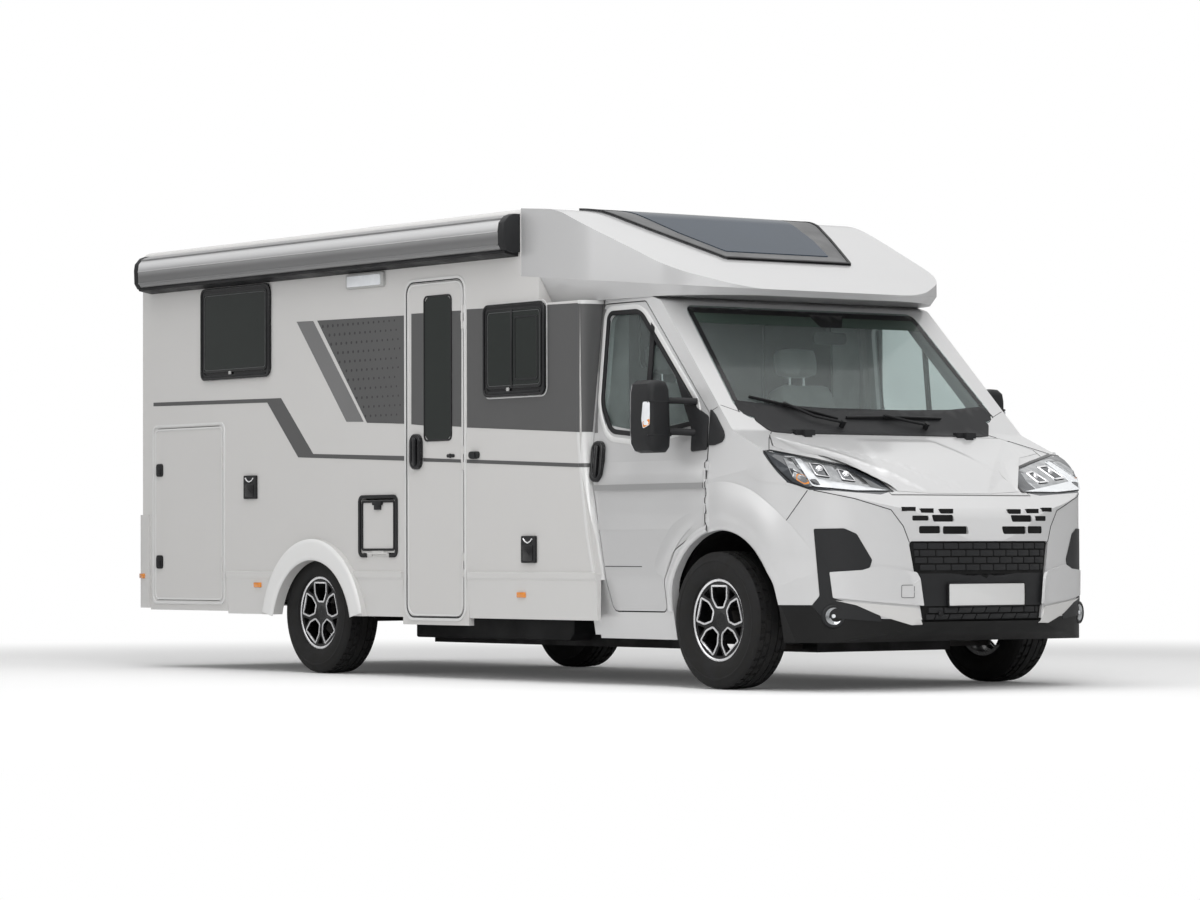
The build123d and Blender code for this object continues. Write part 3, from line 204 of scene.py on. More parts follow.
def glassFinish(name, tint, clear, rough=0.02, ior=1.45):
    made, tree, shader = blank(name)
    point = objectPoint(tree)
    cloud = noise(tree, point, 1.6, 3.0)
    darker = tuple(c * 0.86 for c in tint)
    wire(tree, blended(tree, ranged(tree, cloud, 0, 1), tint, darker), shader.inputs["Base Color"])
    wire(tree, ranged(tree, noise(tree, point, 30, 2.0), rough, rough + 0.03), shader.inputs["Roughness"])
    shader.inputs["Transmission Weight"].default_value = clear
    shader.inputs["IOR"].default_value = ior
    return made


finishes = {name: plainFinish(name) for name in finishTable}


def silverPaintedLight(made, bands):    # painted light: paler on the front face as a painted highlight, darker below and over the crown as painted shade
    tree = made.node_tree
    shader = tree.nodes["Principled BSDF"]
    split = tree.nodes.new("ShaderNodeSeparateXYZ")
    wire(tree, objectPoint(tree), split.inputs["Vector"])
    height = split.outputs["Z"]
    rise = ranged(tree, height, 0, 1, *bands["rise"])
    crown = ranged(tree, height, 0, 1, *bands["crown"])
    wire(tree, blended(tree, crown, blended(tree, rise, bands["low"], bands["middle"]), bands["high"]),
         shader.inputs["Base Color"])


# the awning's silver gets painted light by height: a painted highlight band on its front face, painted shade below it
# and on its crown
silverPaintedLight(finishes["silverExtrusion"], {
    "rise": (2.430, 2.500), "crown": (2.515, 2.550),
    "low": (0.25, 0.25, 0.252), "middle": (0.66, 0.66, 0.665), "high": (0.30, 0.30, 0.303)})
finishes["clearGlass"] = glassFinish("clearGlass", (0.66, 0.73, 0.72), 0.93, 0.0, 1.2)
finishes["screenTop"] = glassFinish("screenTop", (0.045, 0.065, 0.055), 0.0, 0.05, 1.45)
finishes["darkGlass"] = glassFinish("darkGlass", (0.012, 0.016, 0.014), 0.0, 0.05, 1.45)
finishes["skyGlass"] = glassFinish("skyGlass", (0.014, 0.030, 0.052), 0.0, 0.12, 1.16)
finishes["lampLens"] = glassFinish("lampLens", (0.90, 0.92, 0.94), 0.97, 0.0, 1.2)


def clothFinish(name, colour, second):
    made, tree, shader = blank(name)
    point = objectPoint(tree)
    weave = tree.nodes.new("ShaderNodeTexWave")
    weave.inputs["Scale"].default_value = 180
    weave.inputs["Distortion"].default_value = 3.0
    wire(tree, point, weave.inputs["Vector"])
    cloud = noise(tree, point, 9, 4.0)
    wire(tree, blended(tree, ranged(tree, cloud, 0, 1), colour, second), shader.inputs["Base Color"])
    wire(tree, ranged(tree, cloud, 0.82, 0.95), shader.inputs["Roughness"])
    shader.inputs["Sheen Weight"].default_value = 0.25
    bumped(tree, shader, weave.outputs["Fac"], 0.25, 0.001)
    return made


finishes["cloth"] = clothFinish("cloth", (0.36, 0.37, 0.36), (0.30, 0.31, 0.305))
print("finishes made:", len(finishes))

# ---- shaping helpers
def axesOf(outward):    # across, up and out of a surface that faces that way
    out = Vector(outward).normalized()
    if abs(out.z) > 0.9:
        return Vector((1, 0, 0)), Vector((0, 1, 0)), out
    across = Vector((-out.y, out.x, 0)).normalized()
    return across, out.cross(across), out


def seenFrom(outward, places):
    across, up, out = axesOf(outward)
    return [(across.dot(Vector(p)), up.dot(Vector(p))) for p in places]


def outlined(points, radius=0.0, segments=4):
    bm = bmesh.new()
    corners = [bm.verts.new((u, v, 0)) for u, v in points]
    bm.faces.new(corners)
    if radius:
        bmesh.ops.bevel(bm, geom=corners, offset=radius, offset_type="OFFSET", affect="VERTICES",
                        segments=segments, profile=0.5, material=-1, clamp_overlap=True)
    return bm


def dense(bm, step):    # small enough faces to follow a curved skin
    for turn in range(7):
        bmesh.ops.triangulate(bm, faces=bm.faces[:])
        long = [e for e in bm.edges if e.calc_length() > step]
        if not long:
            break
        bmesh.ops.subdivide_edges(bm, edges=long, cuts=1)
    bmesh.ops.triangulate(bm, faces=bm.faces[:])
    return bm


def raised(bm, low, high, edge=0.0):
    bmesh.ops.translate(bm, verts=bm.verts, vec=(0, 0, low))
    grown = bmesh.ops.extrude_face_region(bm, geom=bm.faces[:])["geom"]
    top = {g for g in grown if isinstance(g, bmesh.types.BMFace)}
    lifted = [g for g in grown if isinstance(g, bmesh.types.BMVert)]
    bmesh.ops.translate(bm, verts=lifted, vec=(0, 0, high - low))
    if edge:
        rim = list({e for f in top for e in f.edges if sum(g in top for g in e.link_faces) == 1})
        bmesh.ops.bevel(bm, geom=rim, offset=edge, offset_type="OFFSET", affect="EDGES",
                        segments=2, profile=0.5, material=-1, clamp_overlap=True)
    bmesh.ops.recalc_face_normals(bm, faces=bm.faces)
    return bm


def slab(points, low, high, radius=0.0, edge=0.0, step=0.0):
    bm = outlined(points, radius)
    if step:
        dense(bm, step)
    return raised(bm, low, high, edge)


def ring(points, width, low, high, radius=0.0, edge=0.0, step=0.0):
    bm = outlined(points, radius, 6)
    inner = bm.faces[:]
    bmesh.ops.inset_region(bm, faces=inner, thickness=width, use_even_offset=True, use_boundary=True)
    bmesh.ops.delete(bm, geom=inner, context="FACES")
    if step:
        dense(bm, step)
    return raised(bm, low, high, edge)


def placed(bm, origin, outward):
    across, up, out = axesOf(outward)
    turn = Matrix((across, up, out)).transposed().to_4x4()
    bmesh.ops.transform(bm, matrix=Matrix.Translation(origin) @ turn, verts=bm.verts)
    return bm


skins = {}


def skinOf(names):
    if names not in skins:
        whole = bmesh.new()
        for name in names:
            whole.from_mesh(nodes[name].data)
        skins[names] = BVHTree.FromBMesh(whole)
        whole.free()
    return skins[names]


def laid(bm, outward, names, reach=5.0):    # a flat shape pressed on to the solids behind it
    across, up, out = axesOf(outward)
    skin = skinOf(names)
    missed, depths = [], []
    for v in bm.verts:
        u, rise, w = v.co
        flat = across * u + up * rise
        place = skin.ray_cast(flat + out * reach, -out)[0]
        if place is None:
            missed.append((v, flat, w))
            continue
        depths.append(place.dot(out))
        v.co = place + out * w
    if missed:
        print("  not over the skin:", len(missed), "of", len(bm.verts), names[0])
        middle = sum(depths) / max(1, len(depths))
        for v, flat, w in missed:
            near = skin.find_nearest(flat + out * middle)[0]
            v.co = flat + out * (near.dot(out) + w)
    return bm


def onSkin(places, outward, names, low, high, radius=0.0, edge=0.0, step=0.06):
    return laid(slab(seenFrom(outward, places), low, high, radius, edge, step), outward, names)


def tube(places, radius, closed=False, rounds=2):
    curve = bpy.data.curves.new("path", "CURVE")
    curve.dimensions = "3D"
    curve.bevel_depth, curve.bevel_resolution, curve.use_fill_caps = radius, rounds, True
    spline = curve.splines.new("POLY")
    spline.points.add(len(places) - 1)
    for point, place in zip(spline.points, places):
        point.co = (*place, 1)
    spline.use_cyclic_u = closed
    holder = bpy.data.objects.new("path", curve)
    mesh = bpy.data.meshes.new_from_object(holder)
    bm = bmesh.new()
    bm.from_mesh(mesh)
    bpy.data.objects.remove(holder)
    bpy.data.curves.remove(curve)
    bpy.data.meshes.remove(mesh)
    bmesh.ops.remove_doubles(bm, verts=bm.verts, dist=1e-6)
    return bm


def stepped(places, step):    # the same path with points close together
    made = [Vector(places[0])]
    for a, b in zip(places, places[1:]):
        a, b = Vector(a), Vector(b)
        count = max(1, int((b - a).length / step))
        made += [a.lerp(b, k / count) for k in range(1, count + 1)]
    return made


def seam(places, outward, names, radius=0.0022, step=0.02, lift=0.0):
    out = Vector(outward).normalized()
    skin = skinOf(names)
    path = []
    for p in stepped(places, step):
        place = skin.ray_cast(p - out * out.dot(p) + out * 5.0, -out)[0]
        if place is not None:
            path.append(place + out * lift)
    return tube(path, radius)


def turned(profile, steps=32, angle=2 * pi):    # radius, height out of the surface
    bm = bmesh.new()
    line = [bm.verts.new((r, 0, d)) for r, d in profile]
    edges = [bm.edges.new(pair) for pair in zip(line, line[1:])]
    full = angle > 6.28
    bmesh.ops.spin(bm, geom=line + edges, cent=(0, 0, 0), axis=(0, 0, 1), dvec=(0, 0, 0),
                   angle=angle, steps=steps, use_merge=full)
    bmesh.ops.remove_doubles(bm, verts=bm.verts, dist=1e-5)
    bmesh.ops.recalc_face_normals(bm, faces=bm.faces)
    return bm


def lofted(rows):    # a sheet through rows of points, each row extruded into the next
    bm = bmesh.new()
    line = [bm.verts.new(p) for p in rows[0]]
    edges = [bm.edges.new(pair) for pair in zip(line, line[1:])]
    for row in rows[1:]:
        grown = bmesh.ops.extrude_edge_only(bm, edges=edges)["geom"]
        edges = [g for g in grown if isinstance(g, bmesh.types.BMEdge)]
        fresh = [g for g in grown if isinstance(g, bmesh.types.BMVert)]
        nextLine = []
        for old in line:
            nextLine.append(next(e.other_vert(old) for e in old.link_edges if e.other_vert(old) in fresh))
        for v, p in zip(nextLine, row):
            v.co = p
        line = nextLine
    return bm


def thickened(bm, thickness):
    bmesh.ops.recalc_face_normals(bm, faces=bm.faces)
    bmesh.ops.solidify(bm, geom=bm.faces[:], thickness=thickness)
    bmesh.ops.recalc_face_normals(bm, faces=bm.faces)
    return bm


def flipped(bm):    # the same shape on the vehicle's other side
    bmesh.ops.scale(bm, vec=(1, -1, 1), verts=bm.verts)
    bmesh.ops.recalc_face_normals(bm, faces=bm.faces)
    return bm


def gathered(shapes):
    whole = bmesh.new()
    for shape in shapes:
        held = bpy.data.meshes.new("held")
        shape.to_mesh(held)
        shape.free()
        whole.from_mesh(held)
        bpy.data.meshes.remove(held)
    return whole


def finished(name, shapes, finish, body="vehicle_body", smooth=32):
    bm = gathered(shapes) if isinstance(shapes, list) else shapes
    mesh = bpy.data.meshes.new(name)
    bm.to_mesh(mesh)
    bm.free()
    piece = bpy.data.objects.new(name, mesh)
    bpy.context.scene.collection.objects.link(piece)
    mesh.materials.append(finishes[finish])
    mesh.shade_smooth()
    mesh.set_sharp_from_angle(angle=radians(smooth))
    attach(piece, body)
    return piece


def finishedPair(name, shapes, finish, body="vehicle_body", smooth=32):    # right and left
    whole = gathered(shapes) if isinstance(shapes, list) else shapes
    other = flipped(whole.copy())
    if body == "vehicle_body":
        return [finished(name, [whole, other], finish, body, smooth)]
    pair = []
    for side, bm in (("right", whole), ("left", other)):
        pair.append(finished(f"{side}_{name}", bm, finish, f"{side}_{body}", smooth))
    return pair


rightSide, ahead, behind, above = (0, -1, 0), (1, 0, 0), (-1, 0, 0), (0, 0, 1)
quarter = (0.8, -0.6, 0)    # between the right side and the front
nodeFinish = {
    "wallPaint": ["right_wall", "left_wall", "rear_wall", "roof_panel", "entrance_door",
                  "right_garage_door", "left_garage_door", "service_hatch"],
    "cabPaint": ["cab_shell", "front_bumper", "bonnet"],
    # the cab doors take the darker copy of the cab's paint: painted shade
    "doorPaintShaded": ["left_cab_door", "right_cab_door"],
    "capShell": ["cab_cap"],
    "skirtShell": ["side_skirts", "rear_bumper"],
    "lowBlack": ["front_valance"],
    "slate": ["wall_covers", "left_mirror", "right_mirror", "steering_wheel"],
    "deepBlack": ["front_grille"],
    "silverExtrusion": ["roof_fittings"],
    "glossBlack": ["wall_windows"],
    "darkGlass": ["entrance_window"],
    "clearGlass": ["front_glass", "left_door_glass", "right_door_glass"],
    "lampDark": ["lamps"],
    "frameSteel": ["chassis_frame", "floor_panel", "cab_floor", "engine_block"],
    "iron": ["axles", "left_knuckle", "right_knuckle"],
    "dashPlastic": ["cab_furniture"],
    "wheelBlack": [n for n in nodes if n.endswith("_rim")],
    "rubber": [n for n in nodes if n.endswith("_tyre")],
}
for finish, names in nodeFinish.items():
    for name in names:
        mesh = nodes[name].data
        mesh.materials.clear()
        mesh.materials.append(finishes[finish])

# ---- wall graphics
bandTable = {
    "band": [(0.275, 2.070), (1.335, 2.052), (1.335, 1.357), (0.275, 1.409)],
    "dotted": [(-1.269, 2.080), (-0.352, 2.066), (-0.352, 1.447), (-0.738, 1.463)],
    "slant": [(-1.495, 2.084), (-1.314, 2.080), (-0.774, 1.470), (-0.956, 1.475)],
    "rearLine": [(-3.164, 1.655), (-1.670, 1.636), (-1.315, 1.295), (-0.352, 1.263),
                 (-0.352, 1.236), (-1.479, 1.278), (-1.824, 1.614), (-3.164, 1.632)],
    "frontLine": [(0.272, 1.231), (1.322, 1.189), (1.324, 1.168), (0.272, 1.211)],
    "doorBandRear": [(-0.278, 2.072), (-0.152, 2.070), (-0.152, 1.432), (-0.280, 1.442)],
    "doorBandFront": [(0.130, 2.068), (0.221, 2.066), (0.218, 1.414), (0.130, 1.420)],
    "doorLine": [(-0.160, 1.248), (0.217, 1.232), (0.217, 1.214), (-0.160, 1.227)],
    "thickness": 0.0012, "dotRadius": 0.011, "dotPitch": 0.054,
}


def decal(points, side=1, y=1.07, high=None):
    high = high or bandTable["thickness"]
    bm = slab(points, -0.0005, high)
    return placedOnSide(bm, side, y)


def placedOnSide(bm, side, y):    # side 1 is the right one; u stays X, v is height
    placed(bm, (0, -y, 0), rightSide)
    return flipped(bm) if side < 0 else bm


def dotField(outline, facts, side):    # staggered dots that stop short of the panel's edge
    shapes = []
    left, right = min(u for u, v in outline), max(u for u, v in outline)
    low, high = min(v for u, v in outline), max(v for u, v in outline)
    pitch, radius = facts["dotPitch"], facts["dotRadius"]
    rows = int((high - low) / pitch)
    for row in range(rows):
        v = high - pitch * (row + 0.7)
        share = (high - v) / (high - low)
        rowLeft = left + share * (outline[3][0] - outline[0][0]) + 0.03
        count = int((right - rowLeft) / pitch)
        for k in range(count):
            u = rowLeft + pitch * (k + 0.5 * (row % 2))
            fade = max(0.0, (u - left) / (right - left))
            size = radius * (1 - 0.45 * fade)
            if u > right - 0.03:
                continue
            bm = bmesh.new()
            bmesh.ops.create_circle(bm, cap_ends=True, radius=size, segments=8)
            raised(bm, 0.0005, 0.0016)
            bmesh.ops.translate(bm, verts=bm.verts, vec=(u, v, 0))
            shapes.append(placedOnSide(bm, side, 1.07))
    return shapes


for side, name in ((1, "right"), (-1, "left")):
    finished(f"{name}_bands", [decal(bandTable["band"], side), decal(bandTable["dotted"], side)], "bandGrey")
    finished(f"{name}_slanted_stripe", [decal(bandTable["slant"], side)], "stripeGrey")
    finished(f"{name}_lines", [decal(bandTable[k], side) for k in ("rearLine", "frontLine")], "bandGrey")
    finished(f"{name}_dots", dotField(bandTable["dotted"], bandTable, side), "dotBlack")
finished("left_middle_band", [decal([(-0.352, 2.068), (0.275, 2.068), (0.275, 1.412), (-0.352, 1.445)], -1)],
         "bandGrey")
finished("left_middle_line", [decal([(-0.36, 1.262), (0.275, 1.232), (0.275, 1.211), (-0.36, 1.237)], -1)], "bandGrey")
finished("entrance_door_band", [decal(bandTable[k]) for k in ("doorBandRear", "doorBandFront", "doorLine")],
         "bandGrey", "entrance_door")
print("wall graphics made")


# ---- frames, handles and catches of the walls
def box(x0, x1, z0, z1):
    return [(x0, z0), (x1, z0), (x1, z1), (x0, z1)]


doorTrim = {"frame": (-0.347, 0.266, 0.326, 2.266), "frameWidth": 0.016, "frameHigh": 0.006,
            "leaf": (-0.317, 0.237, 0.353, 2.237), "leafWidth": 0.011, "leafHigh": 0.004, "corner": 0.085}


def entranceTrim(facts):
    frameRing = ring(box(*facts["frame"]), facts["frameWidth"], -0.001, facts["frameHigh"], facts["corner"], 0.002)
    finished("entrance_frame", [placedOnSide(frameRing, 1, 1.07)], "frameWhite")
    shadow = ring(box(*[a + b for a, b in zip(facts["frame"], (0.016, -0.016, 0.016, -0.016))]),
                  0.007, -0.001, 0.0015, facts["corner"] - 0.01)
    finished("entrance_seal", [placedOnSide(shadow, 1, 1.07)], "blackPlastic")
    leafRing = ring(box(*facts["leaf"]), facts["leafWidth"], -0.001, facts["leafHigh"], facts["corner"] - 0.02, 0.0015)
    finished("entrance_leaf_edge", [placedOnSide(leafRing, 1, 1.07)], "frameWhite", "entrance_door")
    paneRing = ring(box(-0.151, 0.128, 1.339, 2.166), 0.011, -0.001, 0.0055, 0.034, 0.0015)
    finished("entrance_pane_edge", [placedOnSide(paneRing, 1, 1.07)], "glossBlack", "entrance_door")


def pullHandle(x, z, width, height):    # a tall oval pull: recess, frame and grip
    half = [(x - width / 2, z - height / 2), (x + width / 2, z - height / 2),
            (x + width / 2, z + height / 2), (x - width / 2, z + height / 2)]
    base = slab(half, -0.001, 0.006, width * 0.46, 0.002)
    rim = ring(half, width * 0.24, 0.005, 0.024, width * 0.46, 0.006)
    grip = slab(box(x - width * 0.14, x + width * 0.14, z - height * 0.4, z + height * 0.4),
                0.014, 0.030, width * 0.12, 0.005)
    return [base, rim, grip]


def garageTrim(side, name):
    frameRing = ring(box(-3.172, -2.308, 0.398, 1.512), 0.016, -0.001, 0.006, 0.05, 0.002)
    finished(f"{name}_garage_frame", [placedOnSide(frameRing, side, 1.07)], "frameWhite")
    leafRing = ring(box(-3.146, -2.334, 0.424, 1.486), 0.012, -0.001, 0.004, 0.04, 0.0015)
    finished(f"{name}_garage_leaf_edge", [placedOnSide(leafRing, side, 1.07)], "frameWhite", f"{name}_garage_door")
    latches = []
    for x0, x1, z0, z1 in ((-3.121, -3.046, 1.189, 1.269), (-3.121, -3.046, 0.616, 0.699)):
        latches.append(slab(box(x0, x1, z0, z1), -0.001, 0.009, 0.018, 0.003))
        latches.append(slab(box(x0 + 0.016, x1 - 0.016, z0 + 0.012, z1 - 0.03), 0.008, 0.014, 0.010, 0.003))
    finished(f"{name}_garage_latches", [placedOnSide(s, side, 1.07) for s in latches], "blackPlastic",
             f"{name}_garage_door")


def hatchTrim():
    frameRing = ring(box(-0.794, -0.448, 0.722, 1.0135), 0.014, -0.001, 0.007, 0.022, 0.002)
    latch = [slab(box(-0.665, -0.575, 0.985, 1.012), 0.0, 0.018, 0.006, 0.003),
             slab(box(-0.650, -0.590, 0.958, 0.990), 0.0, 0.015, 0.006, 0.003)]
    finished("hatch_frame", [placedOnSide(s, 1, 1.07) for s in [frameRing] + latch], "slate", "service_hatch")


entranceTrim(doorTrim)
finished("entrance_handle", [placedOnSide(s, 1, 1.07) for s in pullHandle(-0.219, 1.284, 0.108, 0.203)],
         "glossBlack", "entrance_door")
lock = [slab(box(0.078, 0.153, 1.245, 1.264), -0.001, 0.006, 0.009, 0.002),
        slab(box(0.104, 0.127, 1.242, 1.267), 0.004, 0.009, 0.008, 0.002)]
finished("entrance_lock", [placedOnSide(s, 1, 1.07) for s in lock], "slate", "entrance_door")
catch = [slab(box(0.305, 0.398, 1.234, 1.274), -0.001, 0.016, 0.018, 0.004)]
finished("entrance_catch", [placedOnSide(s, 1, 1.07) for s in catch], "slate")
for side, name in ((1, "right"), (-1, "left")):
    garageTrim(side, name)
hatchTrim()
lampShell = slab(box(-0.937, -0.544, 2.244, 2.330), -0.001, 0.020, 0.012, 0.006)
lampPane = slab(box(-0.915, -0.566, 2.254, 2.318), 0.019, 0.026, 0.010, 0.003)
finished("entrance_lamp", [placedOnSide(lampShell, 1, 1.07)], "ventWhite")
finished("entrance_lamp_pane", [placedOnSide(lampPane, 1, 1.07)], "lampWhite")


# ---- window panes on the black frames
windowTable = [
    # side, x and z limits of the frame, divider place or None
    (1, -2.572, -1.778, 1.768, 2.332, None),
    (1, 0.450, 1.034, 1.568, 2.082, 0.725),
    (-1, -2.572, -1.778, 1.768, 2.332, None),
    (-1, -0.932, -0.488, 1.818, 2.262, None),
    (-1, 0.268, 1.112, 1.478, 2.082, 0.690),
]
windowFace = 1.082


def windowTrim(x0, x1, z0, z1, divider):
    frames = [ring(box(x0, x1, z0, z1), 0.014, -0.001, 0.006, 0.045, 0.003),
              ring(box(x0 + 0.030, x1 - 0.030, z0 + 0.045, z1 - 0.028), 0.010, -0.001, 0.004, 0.030, 0.0015)]
    panes = [slab(box(x0 + 0.038, x1 - 0.038, z0 + 0.054, z1 - 0.036), -0.001, 0.0015, 0.024)]
    rails = [slab(box(x0 + 0.05, x1 - 0.05, z0 + 0.018, z0 + 0.030), -0.001, 0.005, 0.005, 0.001)]
    glints = [ring(box(x0 + 0.046, x1 - 0.046, z0 + 0.060, z1 - 0.046), 0.0028, 0.0010, 0.0036, 0.022)]
    if divider:
        frames.append(slab(box(divider - 0.008, divider + 0.008, z0 + 0.052, z1 - 0.034), 0.0, 0.006, 0.0, 0.0015))
        rails.append(ring(box(divider + 0.022, x1 - 0.062, z0 + 0.085, z1 - 0.075), 0.010, 0.001, 0.0045, 0.022, 0.001))
    catches = [slab(box((x0 + x1) / 2 - 0.05 - 0.012, (x0 + x1) / 2 - 0.05 + 0.012, z0 + 0.030, z0 + 0.050),
                    0.003, 0.009, 0.006, 0.002)]
    return frames, panes, rails, catches, glints


for number, (side, x0, x1, z0, z1, divider) in enumerate(windowTable, 1):
    frames, panes, rails, catches, glints = windowTrim(x0, x1, z0, z1, divider)
    for stem, shapes, finish in (("frame", frames, "glossBlack"), ("pane", panes, "darkGlass"),
                                 ("rails", rails, "slate"), ("catch", catches, "ventWhite"),
                                 ("glints", glints, "greyTrim")):
        finished(f"window{number}_{stem}", [placedOnSide(s, side, windowFace) for s in shapes], finish)
kitchenEdge = ring(box(0.442, 1.042, 1.560, 2.090), 0.0075, -0.001, 0.003, 0.052)
finished("kitchen_window_line", [placedOnSide(kitchenEdge, 1, 1.07)], "frameWhite")
leftEdge = ring(box(0.260, 1.120, 1.470, 2.090), 0.0075, -0.001, 0.003, 0.052)
finished("lounge_window_line", [placedOnSide(leftEdge, -1, 1.07)], "frameWhite")

# ---- covers, awning ends and markers
coverLines = []
for x0, x1, z1 in ((-2.062, -1.948, 1.168), (0.820, 0.927, 0.790)):
    middle = (x0 + x1) / 2
    path = [(x0 + 0.012, z1 - 0.004), (x0 + 0.03, z1 - 0.020), (middle, z1 - 0.028),
            (x1 - 0.03, z1 - 0.020), (x1 - 0.012, z1 - 0.004)]
    coverLines.append(tube([(x, -1.0855, z) for x, z in path], 0.0045))
finished("cover_lines", coverLines, "alloy")
covers = [slab(box(-2.052, -1.958, 1.050, 1.128), 0.0, 0.004, 0.01, 0.002),
          slab(box(0.827, 0.920, 0.664, 0.752), 0.0, 0.004, 0.01, 0.002)]
finished("cover_lids", [placedOnSide(s, 1, 1.084) for s in covers], "glossBlack")

awningProfile = [(1.068, 2.362), (1.068, 2.567), (1.112, 2.567), (1.145, 2.555), (1.178, 2.518), (1.184, 2.480),
                 (1.181, 2.400), (1.160, 2.368), (1.112, 2.355)]
awningSpan = (-3.2095, 0.7895)


def acrossSection(profile, x0, x1, edge=0.0):    # a solid of that end view between two lengths
    bm = outlined([(-y, z) for y, z in profile])
    raised(bm, 0.0, x1 - x0, edge)
    return placed(bm, (x0, 0, 0), ahead)


def grownOutline(profile, by):
    middle = (sum(y for y, z in profile) / len(profile), sum(z for y, z in profile) / len(profile))
    return [(middle[0] + (y - middle[0]) * (1 + by), middle[1] + (z - middle[1]) * (1 + by)) for y, z in profile]


caps = [acrossSection(grownOutline(awningProfile, 0.03), awningSpan[1] - 0.052, awningSpan[1], 0.008),
        acrossSection(grownOutline(awningProfile, 0.03), awningSpan[0], awningSpan[0] + 0.052, 0.008)]
finished("awning_caps", caps, "slate")
for number, (y, z, r) in enumerate(((1.186, 2.470, 0.0035), (1.160, 2.545, 0.003), (1.184, 2.396, 0.003)), 1):
    finished(f"awning_bead{number}", [tube([(awningSpan[0] + 0.052, -y, z), (awningSpan[1] - 0.052, -y, z)], r)],
             "silverExtrusion")
finished("awning_shadow_rail", [acrossSection([(1.066, 2.335), (1.066, 2.362), (1.165, 2.366), (1.160, 2.352),
                                               (1.090, 2.340)],
                                              awningSpan[0] + 0.02, awningSpan[1] - 0.02)], "blackPlastic")

skirtNodes = ("side_skirts", "right_wall", "rear_bumper")
markers = []
for x, z in ((-1.924, 0.520), (0.798, 0.478), (-3.300, 0.570)):
    markers.append(laid(slab(box(x - 0.038, x + 0.038, z - 0.015, z + 0.015), -0.001, 0.010, 0.006, 0.002),
                        rightSide, skirtNodes))
finishedPair("side_markers", markers, "amber")
print("wall fittings made")
# ---- the cab's sides
cabSkin = ("cab_shell", "right_cab_door", "front_bumper", "bonnet", "lamps", "front_valance", "front_grille")
doorSkin = ("right_cab_door",)
sideHeights = [(2.10, 0.930), (1.33, 1.004), (1.08, 1.028), (0.56, 1.022), (0.24, 0.965)]


def cabHalf(z):    # half width of the cab's side at a height
    for (z1, y1), (z0, y0) in zip(sideHeights, sideHeights[1:]):
        if z >= z0:
            return y0 + (y1 - y0) * (z - z0) / (z1 - z0)
    return sideHeights[-1][1]


def onCabSide(bm):
    for v in bm.verts:
        u, z, w = v.co
        v.co = (u, -(cabHalf(z) + w), z)
    bmesh.ops.recalc_face_normals(bm, faces=bm.faces)
    return bm


# the pale corner between the living wall and the cab
fairingTable = [
    # height, wall edge x, cab edge x
    (2.068, 1.332, 1.372), (1.90, 1.330, 1.370), (1.70, 1.326, 1.366), (1.50, 1.322, 1.362), (1.358, 1.318, 1.360),
    (1.20, 1.334, 1.372), (1.00, 1.364, 1.400), (0.80, 1.400, 1.436), (0.562, 1.462, 1.490),
]


def cornerFairing(table):
    rows = []
    for z, wallX, cabX in table:
        inner = cabHalf(z) - 0.002
        row = []
        for k in range(9):
            share = k / 8
            row.append((wallX + (cabX - wallX) * (1 - (1 - share) ** 1.6), -(1.0725 + (inner - 1.0725) * share ** 1.7),
                        z))
        rows.append([(wallX - 0.012, -1.0705, z)] + row)
    return thickened(lofted(rows), 0.003)


finishedPair("corner_fairing", [cornerFairing(fairingTable)], "frameWhite", smooth=60)
# faded end of the band, on the strip behind the door's glass
rearStrip = slab([(1.380, 2.020), (1.400, 2.020), (1.398, 1.42), (1.408, 1.352), (1.380, 1.352)], -0.0005, 0.0012)
finishedPair("door_band", [onCabSide(rearStrip)], "stripeGrey", "cab_door")

glassOutline = [(1.418, 2.008), (1.712, 2.008), (2.262, 1.470), (2.262, 1.372), (1.800, 1.318), (1.520, 1.345),
                (1.418, 1.500)]
glassCorners = 0.05
surround = ring(glassOutline, 0.026, -0.004, 0.006, glassCorners, 0.003, 0.09)
finishedPair("glass_seal", [onCabSide(surround)], "blackPlastic", "cab_door")
paleSurround = ring([(1.388, 2.034), (1.725, 2.034), (2.300, 1.478), (2.300, 1.340), (1.800, 1.272), (1.490, 1.305),
                     (1.388, 1.480)],
                    0.028, -0.003, 0.004, 0.07, 0.0035, 0.09)
finishedPair("glass_surround", [onCabSide(paleSurround)], "frameWhite", "cab_door")
bar = slab([(1.815, 1.93), (1.850, 1.90), (1.850, 1.335), (1.815, 1.332)], -0.006, 0.006, 0.0, 0.002)
finishedPair("glass_bar", [onCabSide(bar)], "blackPlastic", "cab_door")
foot = slab([(2.035, 1.680), (2.262, 1.462), (2.366, 1.415), (2.372, 1.240), (2.240, 1.232), (2.235, 1.345)],
            -0.004, 0.008, 0.014, 0.003, 0.09)
finishedPair("mirror_foot_panel", [onCabSide(foot)], "slate", "cab_door")

wingFoot = [(2.3815, -1.0, 1.452), (2.424, -1.0, 1.420), (2.500, -1.0, 1.335), (2.512, -1.0, 1.305),
            (2.492, -1.0, 1.276),
            (2.428, -1.0, 1.262), (2.3815, -1.0, 1.262)]
finishedPair("mirror_foot_front", [onSkin(wingFoot, rightSide, ("cab_shell",), -0.002, 0.008, 0.010, 0.003, 0.06)],
             "slate", smooth=50)

pull = pullHandle(1.436, 1.197, 0.104, 0.222)
finishedPair("cab_handle", [onCabSide(dense(s, 0.05)) for s in pull], "glossBlack", "cab_door")

swageProfile = [(1.190, 0.000), (1.130, 0.006), (1.078, 0.012), (1.032, -0.0015), (0.968, 0.012), (0.900, 0.008),
                (0.830, 0.000)]


